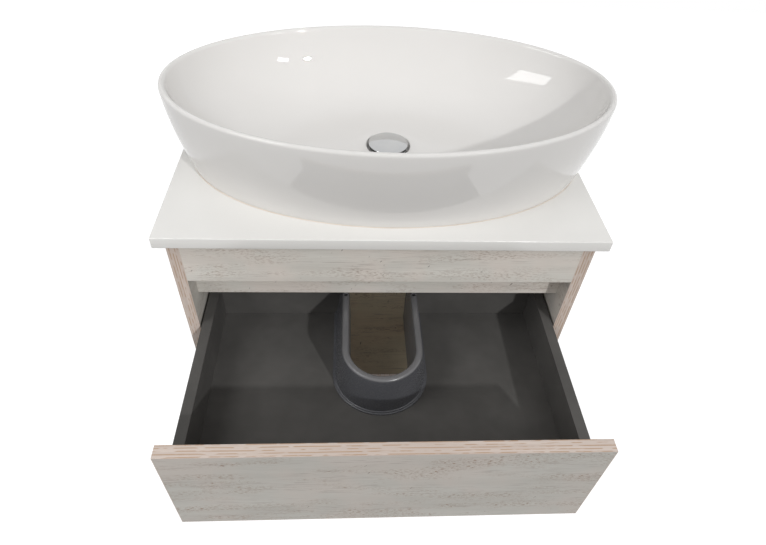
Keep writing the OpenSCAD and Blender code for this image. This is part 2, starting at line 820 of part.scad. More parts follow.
module drawer_rail() {
    tab_h = 5;
    leg_bottom = web_top + 1.5;
    color(steel) difference() {
        union() {
            along_y(box_y + 2, box_l - 2 + rail_t) polygon([
                [rail_u - rail_half, leg_bottom], [rail_u - rail_half, floor_z],
                [rail_u + rail_half, floor_z], [rail_u + rail_half, leg_bottom],
                [rail_u + rail_half - rail_t, leg_bottom],
                [rail_u + rail_half - rail_t, profile_under],
                [rail_u - rail_half + rail_t, profile_under],
                [rail_u - rail_half + rail_t, leg_bottom]]);
            board(-inner_w/2 + rail_u - rail_half, box_end, floor_z - rail_t,
                2*rail_half, rail_t, tab_h + rail_t);
        }
        board(-inner_w/2 + rail_u + rail_half - rail_t - 1,
            pivot_y - nose_y - nose_w/2 - play - 2, lever_z - play,
            rail_t + 2, nose_w + 2*play + 2, lever_h + 2*play);
    }
}
module drawer_rail_left() { drawer_rail(); }
module drawer_rail_right() { mirror([1, 0, 0]) drawer_rail(); }

// Where the clip's screws enter the drawer bottom, left side, clear of the lever
module clip_screw_places() {
    for (y = [pivot_y - clip_screw_off, pivot_y + clip_screw_off])
        translate([-inner_w/2 + pivot_u + clip_screw_in, y, floor_z]) children();
}

module lock_clip() {
    color([0.55, 0.56, 0.57]) difference() {
        union() {
            board(-inner_w/2 + rail_u + rail_half, box_y + 1, floor_z - clip_t,
                clip_w, clip_l, clip_t);
            translate([-inner_w/2 + pivot_u, pivot_y, lever_z - 1])
                cylinder(d = pivot_d, h = floor_z - clip_t - lever_z + 1, $fn = hole_fn);
        }
        clip_screw_places() translate([0, 0, -clip_t - 1])
            cylinder(d = clip_screw_d + 2*play, h = clip_t + 2, $fn = hole_fn);
    }
}
module lock_clip_left() { lock_clip(); }
module lock_clip_right() { mirror([1, 0, 0]) lock_clip(); }

module release_lever() {
    arm_l = 34;
    color([0.85, 0.35, 0.12]) translate([-inner_w/2 + pivot_u, pivot_y, lever_z]) difference() {
        union() {
            cylinder(d = pivot_d + 6, h = lever_h, $fn = hole_fn);
            board(-2.5, -arm_l, 0, 5, arm_l, lever_h);
            board(-2.5, -arm_l - 3, 0, 11, 5, lever_h);
            board(-pivot_u + rail_u + rail_half - rail_t + play, -nose_y - nose_w/2, 0,
                pivot_u - rail_u - rail_half + rail_t - play, nose_w, lever_h);
        }
        translate([0, 0, -1]) cylinder(d = pivot_d + 2*fit, h = lever_h + 2, $fn = hole_fn);
    }
}
module release_lever_left() { release_lever(); }
module release_lever_right() { mirror([1, 0, 0]) release_lever(); }

// -------------------------------------------------------------------- drawer
front_w = inner_w - 2*front_gap;
side_mid = box_out - box_t/2;
cut_half = passage_w/2 + collar_wall + play;
back_y = box_end - box_t;
collar_y = box_end - collar_l;
rim_cy = collar_y + collar_w/2;
foot_half = collar_w/2 + collar_flare;
foot_cy = collar_y + foot_half;
dowel_low = 12;        // above the drawer bottom
dowel_high = 16;       // below the top of the box sides
collar_screw_x = collar_w/2 - collar_rim/2;
collar_screw_back = 35;
collar_screw_y = back_y - collar_screw_back;
collar_screw_d = 3.4;
confirmat_l = 48;

// Front-to-side dowels as bars along Y, left side
module front_dowel_bars(gap) {
    for (z = [floor_top + dowel_low, box_top - dowel_high])
        bar_y(-side_mid, box_y - dowel_in - gap, box_y - dowel_in + dowel_l + gap, z,
            dowel_d + 2*gap);
}

// Cam disc in the outer face of the side and its bolt in the front, left side
module drawer_cam_bars(gap) {
    mid = (box_z + box_top)/2;
    bar_x(-box_out - 4*gap, -box_out + 12 + gap, box_y + cam_set, mid, cam_d + 2*gap);
    bar_y(-side_mid, box_y - cam_bolt_in - gap, box_y + cam_set - cam_d/2 - fit + gap, mid,
        cam_bolt_d + 2*gap);
}

// Confirmat screws from the side into the back, left side
module confirmat_bars(gap) {
    for (z = [floor_top + dowel_high, box_top - dowel_high]) {
        bar_x(-box_out + 0.5 - 10*gap, -box_out + confirmat_l + gap, back_y + box_t/2, z,
            5 + 2*gap);
        bar_x(-box_out + 0.5 - 10*gap, -box_out + 4 + gap, back_y + box_t/2, z, 7 + 2*gap);
    }
}

module drawer_front() {
    color(laminate) difference() {
        board(-front_w/2 + band_t, pull_y, front_top - front_h + band_t,
            front_w - 2*band_t, panel_t, front_h - 2*band_t);
        pair() {
            front_dowel_bars(fit);
            drawer_cam_bars(fit);
        }
    }
}

module drawer_front_edging() {
    color(oak) difference() {
        board(-front_w/2, pull_y, front_top - front_h, front_w, panel_t, front_h);
        board(-front_w/2 + band_t, pull_y - 1, front_top - front_h + band_t,
            front_w - 2*band_t, panel_t + 2, front_h - 2*band_t);
    }
}

module drawer_side() {
    color(anthracite) difference() {
        board(-box_out, box_y, box_z, box_t, box_l, box_h);
        board(-box_in - groove, box_y - 1, floor_z - fit, groove + 1, box_l + 2,
            floor_t + 2*fit);
        front_dowel_bars(fit);
        drawer_cam_bars(fit);
        confirmat_bars(fit);
    }
}
module drawer_side_left() { drawer_side(); }
module drawer_side_right() { mirror([1, 0, 0]) drawer_side(); }

// Outline of the siphon recess: a half round of radius r at cy, open to the back
module arch(r, cy, end) {
    translate([0, cy]) circle(r, $fn = 64);
    translate([-r, cy]) square([2*r, end - cy]);
}

module drawer_bottom() {
    color(anthracite) difference() {
        board(-box_in - groove + play, box_y, floor_z, 2*(box_in + groove - play), box_l,
            floor_t);
        translate([0, 0, floor_z - 1]) linear_extrude(floor_t + 2)
            arch(cut_half, rim_cy, box_end + 1);
        pair() {
            clip_screw_places() cylinder(d = clip_screw_d + 2*fit,
                h = clip_screw_l - clip_t + fit, $fn = hole_fn);
            translate([collar_screw_x, collar_screw_y, floor_z + 1])
                cylinder(d = collar_screw_d + 2*fit, h = floor_t, $fn = hole_fn);
        }
    }
}

module drawer_back() {
    color(anthracite) difference() {
        board(-box_in, back_y, floor_top, box_in - cut_half, box_t, box_top - floor_top);
        confirmat_bars(fit);
    }
}
module drawer_back_left() { drawer_back(); }
module drawer_back_right() { mirror([1, 0, 0]) drawer_back(); }

module drawer_dowels() { color([0.85, 0.74, 0.56]) pair() front_dowel_bars(0); }
module drawer_cams() { color(steel) pair() drawer_cam_bars(0); }

module drawer_screws() {
    color(steel) pair() {
        confirmat_bars(0);
        clip_screw_places() translate([0, 0, -clip_t])
            screw(clip_screw_d, clip_screw_l, 5.5, 1.6);
    }
}

// ------------------------------------------------------------- siphon collar
collar_round = 3;      // rounding of the rim's two edges
bead_h = 3;
screw_seat = 6;        // plastic left under the collar screws

// A thin slice of the arch at height z above the drawer bottom
module slice(r, cy, z) {
    translate([0, 0, floor_top + z]) linear_extrude(0.01) arch(r, cy, back_y);
}

// Inverted channel: outer skirt, rounded rim and an inner sleeve through the
// drawer bottom, with two beads around the foot
module siphon_collar() {
    rim_out = collar_w/2;
    rim_in = rim_out - collar_rim;
    color(slate) difference() {
        union() {
            difference() {
                union() {
                    hull() {
                        slice(foot_half, foot_cy, 0);
                        slice(rim_out, rim_cy, collar_h - collar_round);
                        slice(rim_out - collar_round*0.3, rim_cy, collar_h - collar_round*0.3);
                        slice(rim_out - collar_round, rim_cy, collar_h - 0.01);
                    }
                    translate([0, 0, floor_top]) linear_extrude(bead_h)
                        arch(foot_half + 3.5, foot_cy, back_y);
                    translate([0, 0, floor_top]) linear_extrude(2*bead_h)
                        arch(foot_half + 1.5, foot_cy, back_y);
                }
                hull() {
                    slice(foot_half - collar_wall, foot_cy, -0.01);
                    slice(rim_out - collar_wall - 0.8, rim_cy, collar_h - collar_wall - 1);
                }
            }
            hull() {
                slice(passage_w/2 + collar_wall, rim_cy, -floor_t - 1);
                slice(rim_in + collar_wall, rim_cy, collar_h - collar_wall);
            }
            pair() translate([collar_screw_x, collar_screw_y, floor_top])
                cylinder(d = 10, h = collar_h - collar_wall, $fn = hole_fn);
        }
        hull() {
            slice(passage_w/2, rim_cy, -floor_t - 1.1);
            slice(rim_in, rim_cy, collar_h - collar_round);
            slice(rim_in + collar_round*0.3, rim_cy, collar_h - collar_round*0.3);
            slice(rim_in + collar_round, rim_cy, collar_h + 0.1);
        }
        translate([0, 0, floor_top - floor_t - 2]) linear_extrude(collar_h + floor_t + 3)
            translate([-passage_w/2, back_y - 20]) square([passage_w, 21]);
        pair() translate([collar_screw_x, collar_screw_y, 0]) {
            translate([0, 0, floor_top + screw_seat])
                cylinder(d = 6.6, h = collar_h, $fn = hole_fn);
            translate([0, 0, floor_top - 1])
                cylinder(d = collar_screw_d + 2*fit, h = collar_h, $fn = hole_fn);
        }
    }
}

module collar_screws() {
    color(steel) pair() translate([collar_screw_x, collar_screw_y, floor_top + screw_seat])
        mirror([0, 0, 1]) screw(collar_screw_d, screw_seat + floor_t - 2, 6, 2);
}

countertop();
slab_brackets();
slab_screws();
basin();
basin_sealant();
drain_cap();
cap_seal();
click_cartridge();
waste_body();
waste_seal();
waste_gasket();
waste_nut();
trap_inlet_pipe();
trap_inlet_nut();
trap_body();
trap_cup();
trap_seals();
outlet_nut();
outlet_pipe();
wall_rosette();
side_panel_left();
side_panel_right();
side_edging();
fascia();
grip_rail();
hanging_rail();
rear_rail();
bottom_panel();
dowels();
cam_discs();
cam_bolts();
hanger_boxes();
hanger_hooks();
hanger_screws();
wall_plates();
cabinet_rail_left();
cabinet_rail_right();
rail_screws();
ball_cage_left();
ball_cage_right();
rail_balls_left();
rail_balls_right();
drawer_rail_left();
drawer_rail_right();
lock_clip_left();
lock_clip_right();
release_lever_left();
release_lever_right();
drawer_front();
drawer_front_edging();
drawer_side_left();
drawer_side_right();
drawer_bottom();
drawer_back_left();
drawer_back_right();
drawer_dowels();
drawer_cams();
drawer_screws();
siphon_collar();
collar_screws();
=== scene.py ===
# %% [markdown]
# # A wall-hung vanity with a vessel basin
# The real object is a small cabinet that hangs on a wall, with an oval ceramic basin standing on a
# white top. Its one deep drawer is pulled out here, and is cut out around the basin's trap.
#
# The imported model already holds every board, pipe and screw in its real place. So this lesson does
# only what a camera needs: it gives each piece its finish, and swaps four turned, moulded or
# polished pieces for smoother meshes of the same size. All lengths are in metres.

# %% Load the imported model
import math

import bmesh
import bpy
from mathutils import Matrix, Vector


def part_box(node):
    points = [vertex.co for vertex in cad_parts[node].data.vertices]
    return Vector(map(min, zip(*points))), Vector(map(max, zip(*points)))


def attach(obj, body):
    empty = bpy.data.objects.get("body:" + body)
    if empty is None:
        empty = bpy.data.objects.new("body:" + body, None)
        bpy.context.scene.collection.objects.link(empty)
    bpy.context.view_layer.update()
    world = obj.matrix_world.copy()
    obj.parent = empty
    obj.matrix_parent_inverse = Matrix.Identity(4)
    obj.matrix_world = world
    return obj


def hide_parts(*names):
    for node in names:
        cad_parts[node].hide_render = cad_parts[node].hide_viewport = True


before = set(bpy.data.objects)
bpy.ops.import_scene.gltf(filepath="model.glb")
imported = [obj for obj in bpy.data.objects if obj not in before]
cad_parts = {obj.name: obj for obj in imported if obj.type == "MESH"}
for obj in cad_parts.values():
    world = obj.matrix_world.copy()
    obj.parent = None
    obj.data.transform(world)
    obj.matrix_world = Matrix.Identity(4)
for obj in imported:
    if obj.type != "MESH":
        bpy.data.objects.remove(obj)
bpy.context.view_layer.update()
MM = 0.001

# %% [markdown]
# ## The camera
# A camera is an eye at a place, looking along a direction. A Track To constraint could aim it, but
# can't roll it. Here three angles say it all: how far it looks down, how far it is turned to the
# side, and how much it is rolled. From them come the camera's own right, up and backward axes,
# which are the columns of its matrix. The lens is wide and near, so the drawer in front looks as
# wide as the top behind it, though it is narrower.

# %% Place the camera
CAMERA_AT = Vector((-0.0537, -1.0379, 0.5869))
LOOK_DOWN, TURN, ROLL = (math.radians(a) for a in (44.47, 4.965, 3.765))
LENS_MM, SENSOR_MM = 26.41, 36.0


def camera_axes(down, turn, roll):
    """The camera's right, up and backward axes."""
    forward = Vector((math.sin(turn) * math.cos(down),
                      math.cos(turn) * math.cos(down),
                      -math.sin(down)))
    level = Vector((math.cos(turn), -math.sin(turn), 0.0))
    upward = level.cross(forward)
    right = level * math.cos(roll) + upward * math.sin(roll)
    up = upward * math.cos(roll) - level * math.sin(roll)
    return right, up, -forward


camera = bpy.data.objects.new("camera", bpy.data.cameras.new("camera"))
bpy.context.collection.objects.link(camera)
axes = Matrix(camera_axes(LOOK_DOWN, TURN, ROLL)).transposed().to_4x4()
camera.matrix_world = Matrix.Translation(CAMERA_AT) @ axes
camera.data.lens, camera.data.sensor_width = LENS_MM, SENSOR_MM
bpy.context.scene.camera = camera
print("camera at", tuple(CAMERA_AT))

# %% [markdown]
# ## Tools for materials
# A material is a small network of nodes. It could be drawn by hand in the Shader Editor, but a
# script can be read, repeated and mended in one place. These helpers add a node, set its sockets
# and wire it up in one line, so that the recipes further on read as recipes.

# %% Node helpers
def add(tree, kind, values=None, **settings):
    """Adds a node. A value that is a socket is linked, any other is set."""
    node = tree.nodes.new(kind)
    for name, value in settings.items():
        setattr(node, name, value)
    for key, value in (values or {}).items():
        if isinstance(value, bpy.types.NodeSocket):
            tree.links.new(value, node.inputs[key])
        else:
            node.inputs[key].default_value = value
    return node


def math_node(tree, operation, a, b=0.0, clamp=False):
    """One sum on two numbers, each a socket or a plain number."""
    return add(tree, "ShaderNodeMath", {0: a, 1: b}, operation=operation,
               use_clamp=clamp).outputs[0]


def noise(tree, vector, per_metre, detail, roughness):
    """Noise with so many blots per metre along each axis, so that they can be long and thin."""
    drawn = add(tree, "ShaderNodeVectorMath", {0: vector, 1: per_metre}, operation="MULTIPLY")
    blots = add(tree, "ShaderNodeTexNoise", {"Vector": drawn.outputs[0], "Scale": 1.0,
                                             "Detail": detail, "Roughness": roughness})
    return blots.outputs["Fac"]


def ramp(tree, value, low, high, to_low=0.0, to_high=1.0):
    """Maps low..high of a value to to_low..to_high in a soft S, and holds at both ends."""
    return add(tree, "ShaderNodeMapRange",
               {"Value": value, "From Min": low, "From Max": high,
                "To Min": to_low, "To Max": to_high},
               interpolation_type="SMOOTHSTEP").outputs["Result"]


# A Mix node has sockets for numbers, vectors and colours: these are its colour sockets.
MIX_FACTOR, MIX_A, MIX_B, MIX_RESULT = 0, 6, 7, 2


def mix(tree, factor, a, b):
    """Mixes two colours, each a socket or an (r, g, b)."""
    a, b = ((*color, 1.0) if isinstance(color, tuple) else color for color in (a, b))
    node = add(tree, "ShaderNodeMix", {MIX_FACTOR: factor, MIX_A: a, MIX_B: b},
               data_type="RGBA")
    return node.outputs[MIX_RESULT]


print("node helpers ready")

# %% [markdown]
# ## Tools for node groups
# A node group is a network with its own named inputs and outputs, much like a function. An effect
# that several finishes share could be copied into each of them, but then every copy would have to
# be mended. Built once as a group, it is placed wherever it is needed, with its own values.

# %% Node group helpers
def new_group(name, inputs, outputs):
    """A node group with named inputs {name: (kind, default)} and outputs {name: kind}."""
    group = bpy.data.node_groups.new(name, "ShaderNodeTree")
    for label, (kind, default) in inputs.items():
        socket = group.interface.new_socket(label, in_out="INPUT",
                                            socket_type="NodeSocket" + kind)
        if default is not None:
            socket.default_value = default
    for label, kind in outputs.items():
        group.interface.new_socket(label, in_out="OUTPUT", socket_type="NodeSocket" + kind)
    given = group.nodes.new("NodeGroupInput").outputs
    out = group.nodes.new("NodeGroupOutput").inputs
    return group, given, out


def place(tree, group, **values):
    """Places a node group with its own values. An underscore in a name stands for a space."""
    named = {key.replace("_", " "): value for key, value in values.items()}
    return add(tree, "ShaderNodeGroup", named, node_tree=group).outputs


print("node group helpers ready")

# %% [markdown]
# ## Shared effects
# **Handled surface**: nothing real is one even tone. Broad, faint clouds stand for dust and
# handling, and a fine grain for the surface's own texture. Painted image textures could show both,
# but noise needs no image and is as sharp from near as from far. Every finish uses it.
#
# **Eased edge**: a board's or a moulding's edge is never razor sharp. A Bevel modifier would add
# real faces to every board. Blender's Bevel node only turns the normal near an edge, so that it
# catches the light as a rounded edge does, which is enough for half a millimetre.

# %% Build the shared node groups
def handled_group():
    """Two noises, broad and fine, each spread out to 0..1."""
    group, given, out = new_group(
        "handled surface",
        {"Vector": ("Vector", None), "Cloud scale": ("Float", 8.0),
         "Grain scale": ("Float", 400.0)},
        {"Clouds": "Float", "Grain": "Float"})
    for label, scale, detail in (("Clouds", "Cloud scale", 3.0), ("Grain", "Grain scale", 2.0)):
        blots = add(group, "ShaderNodeTexNoise",
                    {"Vector": given["Vector"], "Scale": given[scale], "Detail": detail,
                     "Roughness": 0.6})
        group.links.new(ramp(group, blots.outputs["Fac"], 0.3, 0.7), out[label])
    return group


def edge_group():
    """A normal that is rounded near edges, with a height laid over it as bump."""
    group, given, out = new_group(
        "eased edge",
        {"Height": ("Float", 0.0), "Depth": ("Float", 0.1 * MM), "Radius": ("Float", 0.5 * MM)},
        {"Normal": "Vector"})
    eased = add(group, "ShaderNodeBevel", {"Radius": given["Radius"]}, samples=4)
    bump = add(group, "ShaderNodeBump", {"Height": given["Height"], "Distance": given["Depth"],
                                         "Normal": eased.outputs["Normal"]})
    group.links.new(bump.outputs["Normal"], out["Normal"])
    return group


HANDLED, EASED = handled_group(), edge_group()
print("groups:", HANDLED.name, "and", EASED.name)

# %% [markdown]
# ## Worn whitewash
# The look is of old planks under thin white paint: long soft bands where the paint is thicker or
# thinner, a fine grain, patches of short brown flecks where it has worn off, a few long dark lines,
# and here and there a small slanted nick. Wave textures could draw the lines, but they repeat.
# Each effect is instead noise stretched along the grain and cut at a threshold, and a second,
# broader noise decides where the flecks and lines gather. The group takes a vector whose first
# axis runs along the grain.

# %% Build the worn wash group
# Blots per metre: along the grain, then in the two directions across it
BANDS_PER_M, GRAIN_PER_M = (2.2, 26.0, 26.0), (30.0, 900.0, 900.0)
PATCHES_PER_M, FLECKS_PER_M = (9.0, 52.0, 52.0), (150.0, 800.0, 800.0)
STRIPS_PER_M, LINES_PER_M = (4.0, 34.0, 34.0), (20.0, 380.0, 380.0)
NICKS_PER_M, NICK_SLANT = (70.0, 70.0, 330.0), 0.9


def gathered(tree, marks, places, amount):
    """Keeps marks only in certain places, and makes them stronger or weaker."""
    return math_node(tree, "MULTIPLY", math_node(tree, "MULTIPLY", marks, places), amount)


def worn_wash_group():
    """Bands and grain as values, and a mask each for flecks, lines and nicks."""
    group, given, out = new_group(
        "worn wash",
        {"Vector": ("Vector", None), "Flecks": ("Float", 1.0), "Lines": ("Float", 1.0)},
        {"Bands": "Float", "Fleck mask": "Float", "Line mask": "Float", "Nick mask": "Float",
         "Grain": "Float"})
    at = given["Vector"]
    bands = noise(group, at, BANDS_PER_M, detail=4.0, roughness=0.62)
    group.links.new(ramp(group, bands, 0.28, 0.72), out["Bands"])
    group.links.new(noise(group, at, GRAIN_PER_M, detail=3.0, roughness=0.6), out["Grain"])

    patches = ramp(group, noise(group, at, PATCHES_PER_M, 3.0, 0.55), 0.45, 0.68)
    flecks = ramp(group, noise(group, at, FLECKS_PER_M, 2.0, 0.65), 0.53, 0.60)
    group.links.new(gathered(group, flecks, patches, given["Flecks"]), out["Fleck mask"])

    strips = ramp(group, noise(group, at, STRIPS_PER_M, 2.0, 0.5), 0.42, 0.60)
    lines = ramp(group, noise(group, at, LINES_PER_M, 3.0, 0.6), 0.54, 0.64)
    group.links.new(gathered(group, lines, strips, given["Lines"]), out["Line mask"])

    slanted = add(group, "ShaderNodeVectorRotate", {"Vector": at, "Angle": NICK_SLANT},
                  rotation_type="Y_AXIS").outputs[0]
    nicks = noise(group, slanted, NICKS_PER_M, 1.0, 0.5)
    group.links.new(ramp(group, nicks, 0.765, 0.79), out["Nick mask"])
    return group


WORN_WASH = worn_wash_group()
print("group:", WORN_WASH.name)

# %% [markdown]
# ## Oak pores
# The edge bands are a print of oak: many short brown dashes in rows along pale, slightly banded
# wood. Noise alone would scatter the dashes, so a wave texture draws the rows and noise breaks
# them up. The wave is pulled out along the grain first, so that its rows waver only slowly.

# %% Build the oak pores group
ROW_STRETCH, ROWS_SCALE = (0.10, 1.0, 1.0), 78.0
BREAKS_PER_M, OAK_BANDS_PER_M = (58.0, 260.0, 260.0), (6.0, 160.0, 160.0)


def oak_pores_group():
    """A mask for the pores, and the bands as a value."""
    group, given, out = new_group("oak pores", {"Vector": ("Vector", None)},
                                  {"Pores": "Float", "Bands": "Float"})
    at = given["Vector"]
    drawn = add(group, "ShaderNodeVectorMath", {0: at, 1: ROW_STRETCH}, operation="MULTIPLY")
    waves = add(group, "ShaderNodeTexWave",
                {"Vector": drawn.outputs[0], "Scale": ROWS_SCALE, "Distortion": 2.2,
                 "Detail": 2.0, "Detail Scale": 0.9},
                wave_type="BANDS", bands_direction="Y")
    rows = ramp(group, waves.outputs["Fac"], 0.62, 0.90)
    breaks = ramp(group, noise(group, at, BREAKS_PER_M, 1.0, 0.5), 0.40, 0.52)
    group.links.new(math_node(group, "MULTIPLY", rows, breaks), out["Pores"])
    bands = noise(group, at, OAK_BANDS_PER_M, detail=2.0, roughness=0.5)
    group.links.new(ramp(group, bands, 0.3, 0.7), out["Bands"])
    return group


OAK_PORES = oak_pores_group()
print("group:", OAK_PORES.name)

# %% [markdown]
# ## Finishes
# UV maps would need unwrapping, and these coordinates need nothing and keep a grain's true size.
# Numbers that are the same all over, such as the index of refraction, are typed straight into the
# shader.

# %% Start a finish
def finish(name, **plain):
    """A new material, whose shader gets the plain numbers."""
    material = bpy.data.materials.new(name)
    material.use_nodes = True
    tree = material.node_tree
    shader = tree.nodes["Principled BSDF"]
    for key, value in plain.items():
        shader.inputs[key.replace("_", " ")].default_value = value
    where = tree.nodes.new("ShaderNodeTexCoord").outputs["Object"]
    return material, tree, shader, where


def dress(tree, shader, color, roughness, height, depth, radius=0.5 * MM):
    """Wires colour, roughness and an eased, bumped normal into the shader."""
    tree.links.new(color, shader.inputs["Base Color"])
    tree.links.new(roughness, shader.inputs["Roughness"])
    normal = place(tree, EASED, Height=height, Depth=depth, Radius=radius)["Normal"]
    tree.links.new(normal, shader.inputs["Normal"])


def along(tree, where, axis):
    """Turns the coordinates so that their first axis runs along the grain."""
    if axis == "X":
        return where
    parts = add(tree, "ShaderNodeSeparateXYZ", {0: where}).outputs
    order = {"Y": "YXZ", "Z": "ZXY"}[axis]
    swapped = {i: parts[part] for i, part in enumerate(order)}
    return add(tree, "ShaderNodeCombineXYZ", swapped).outputs[0]


print("finish helpers ready")

# %% [markdown]
# ## Weathered laminate
# The boards are faced with a printed paper under a matt resin: a picture of whitewashed old wood,
# with only a very shallow pressed grain. Its inks are laid here one over the other, as in print:
# bands, grain, warm clouds, flecks, lines and nicks. The front, the rails and the bottom have
# their grain along the width, and the side panels have it from front to back. A shift picks
# another stretch of the print, so that the boards differ as real ones do. A tone makes it lighter
# or darker, and is painted light and shade: the rails are painted paler, the front darker and the
# bottom a little lighter, for how much light falls on each. One material for all boards would be
# shorter, but the grain would run the wrong way on half of them.

# %% Laminate
WASH_DARK, WASH_PALE = (0.560, 0.535, 0.490), (0.680, 0.660, 0.612)
GRAIN_INK, CLOUD_INK = (0.48, 0.45, 0.405), (0.690, 0.615, 0.560)
FLECK_INK, LINE_INK, NICK_INK = (0.270, 0.170, 0.110), (0.240, 0.180, 0.155), (0.090, 0.055, 0.030)
PRINT_GLOSS = {"IOR": 1.45, "Specular_IOR_Level": 0.4}
PRESSED = 0.06 * MM


def lay(tree, color, mask, strength, ink):
    """Lays an ink over a colour, where a mask says and only so strongly."""
    return mix(tree, math_node(tree, "MULTIPLY", mask, strength), color, ink)


def laminate(name, axis, shift=0.0, tone=1.0, tint=(1.0, 1.0, 1.0), flecks=1.0, lines=1.0):
    """Printed laminate with its grain along an axis."""
    material, tree, shader, where = finish(name, **PRINT_GLOSS)
    moved = add(tree, "ShaderNodeVectorMath",
                {0: along(tree, where, axis), 1: (shift, shift, 0.0)}, operation="ADD")
    wash = place(tree, WORN_WASH, Vector=moved.outputs[0], Flecks=flecks, Lines=lines)
    feel = place(tree, HANDLED, Vector=where, Cloud_scale=7.0, Grain_scale=900.0)
    # The tone scales every ink, and so paints a board lighter or darker as painted light and shade.
    dark, pale, grain, cloud = (tuple(tone * part * share for part, share in zip(ink, tint))
                                for ink in (WASH_DARK, WASH_PALE, GRAIN_INK, CLOUD_INK))
    color = mix(tree, wash["Bands"], dark, pale)
    color = mix(tree, ramp(tree, wash["Grain"], 0.35, 0.7, to_high=0.30), color, grain)
    color = mix(tree, ramp(tree, feel["Clouds"], 0.2, 0.9, to_high=0.55), color, cloud)
    color = lay(tree, color, wash["Fleck mask"], 0.70, FLECK_INK)
    color = lay(tree, color, wash["Line mask"], 0.42, LINE_INK)
    color = lay(tree, color, wash["Nick mask"], 0.80, NICK_INK)
    height = math_node(tree, "SUBTRACT", wash["Grain"], wash["Fleck mask"])
    roughness = ramp(tree, feel["Grain"], 0.0, 1.0, 0.46, 0.60)
    dress(tree, shader, color, roughness, height, PRESSED)
    return material


# Tones: rails painted paler, front darker, bottom a little lighter, as painted light and shade.
FINISH = {
    "laminate across": laminate("laminate grain across", "X", tone=0.85, flecks=1.35),
    "laminate rails": laminate("laminate grain across, painted lighter", "X", shift=0.21, tone=1.14,
                               flecks=0.75, lines=0.6),
    "laminate back": laminate("laminate grain front to back", "Y", shift=0.37),
    "laminate inside": laminate("laminate grain across, yellower print, painted lighter", "X", shift=0.53,
                                tone=1.05, tint=(1.06, 0.94, 0.74)),
}
print("laminates:", ", ".join(FINISH))

# %% [markdown]
# ## Oak bands
# A thin band of printed oak is glued over the cut edges at the front, because the chipboard inside
# would soak up water. It could be laminate in another colour, but its pores run in rows and the
# wash's flecks don't. So it takes the gloss of the laminate, which is the same kind of print, and
# the pores instead of the wash. Pores are pressed inward, so their bump has a negative depth. The
# hidden dowels are plain beech, which this recipe suits as well.

# %% Oak bands and dowels
OAK_DARK, OAK_PALE, PORE_INK = (0.600, 0.505, 0.445), (0.680, 0.585, 0.525), (0.460, 0.300, 0.195)


def oak_band(name, axis):
    """Printed oak with its grain along an axis."""
    material, tree, shader, where = finish(name, **PRINT_GLOSS)
    oak = place(tree, OAK_PORES, Vector=along(tree, where, axis))
    feel = place(tree, HANDLED, Vector=where, Cloud_scale=12.0, Grain_scale=900.0)
    color = mix(tree, oak["Bands"], OAK_DARK, OAK_PALE)
    color = lay(tree, color, oak["Pores"], 0.85, PORE_INK)
    roughness = ramp(tree, feel["Grain"], 0.0, 1.0, 0.45, 0.60)
    dress(tree, shader, color, roughness, oak["Pores"], -PRESSED)
    return material


FINISH["band across"] = oak_band("oak band across", "X")
FINISH["band up"] = oak_band("oak band up", "Z")
FINISH["beech"] = oak_band("beech dowel", "X")
print("oak finishes ready")

# %% [markdown]
# ## Glaze, top and drawer boards
# **Glaze** is clear glass over white clay. A Coat layer over a rough white base could show that,
# but one white base with a very low roughness looks nearly the same, and a faint waviness keeps it
# from looking like plastic. The **top** is polished and a little softer. The **anthracite board**
# is a melamine face with a fine pearl texture, so it hardly shines. The **slate moulding** is a
# smooth plastic with softer edges. All four need only two close tones and a fine grain, so one
# recipe makes them, and each gives it its own numbers.

# %% Ceramic, top, anthracite and slate
def plain_finish(name, dark, light, rough, depth, clouds, grain, radius=0.5 * MM, **plain):
    """Two tones in broad clouds, a range of roughness, and a fine grain as bump.

    clouds and grain are the scales of the two noises, and depth is how deep the grain is.
    """
    material, tree, shader, where = finish(name, **plain)
    feel = place(tree, HANDLED, Vector=where, Cloud_scale=clouds, Grain_scale=grain)
    color = mix(tree, feel["Clouds"], dark, light)
    roughness = ramp(tree, feel["Grain"], 0.0, 1.0, *rough)
    dress(tree, shader, color, roughness, feel["Grain"], depth, radius)
    return material


FINISH["glaze"] = plain_finish(
    "white glaze", dark=(0.738, 0.722, 0.702), light=(0.758, 0.743, 0.724),
    rough=(0.012, 0.022), depth=0.001 * MM, clouds=3.0, grain=30.0, IOR=1.5)
FINISH["top"] = plain_finish(
    "polished white top", dark=(0.800, 0.790, 0.765), light=(0.825, 0.815, 0.790),
    rough=(0.16, 0.22), depth=0.006 * MM, clouds=4.0, grain=500.0, radius=0.8 * MM, IOR=1.49)
FINISH["anthracite"] = plain_finish(
    "anthracite board", dark=(0.088, 0.085, 0.081), light=(0.113, 0.109, 0.104),
    rough=(0.42, 0.56), depth=0.05 * MM, clouds=9.0, grain=1400.0, IOR=1.48,
    Specular_IOR_Level=0.08)
FINISH["slate"] = plain_finish(
    "slate moulding", dark=(0.084, 0.086, 0.096), light=(0.096, 0.098, 0.108),
    rough=(0.22, 0.30), depth=0.02 * MM, clouds=12.0, grain=1500.0, radius=1.2 * MM, IOR=1.6)
print("coated finishes ready")

# %% [markdown]
# ## Metals, rubber and small mouldings
# Chrome is a mirror with a slightly dark tint. Zinc plating is paler in some spots than in others
# and a little rough. Most fittings are hidden inside the cabinet and could share one grey, but
# drawer and camera move, so each gets its own tone and grain from the same recipe.

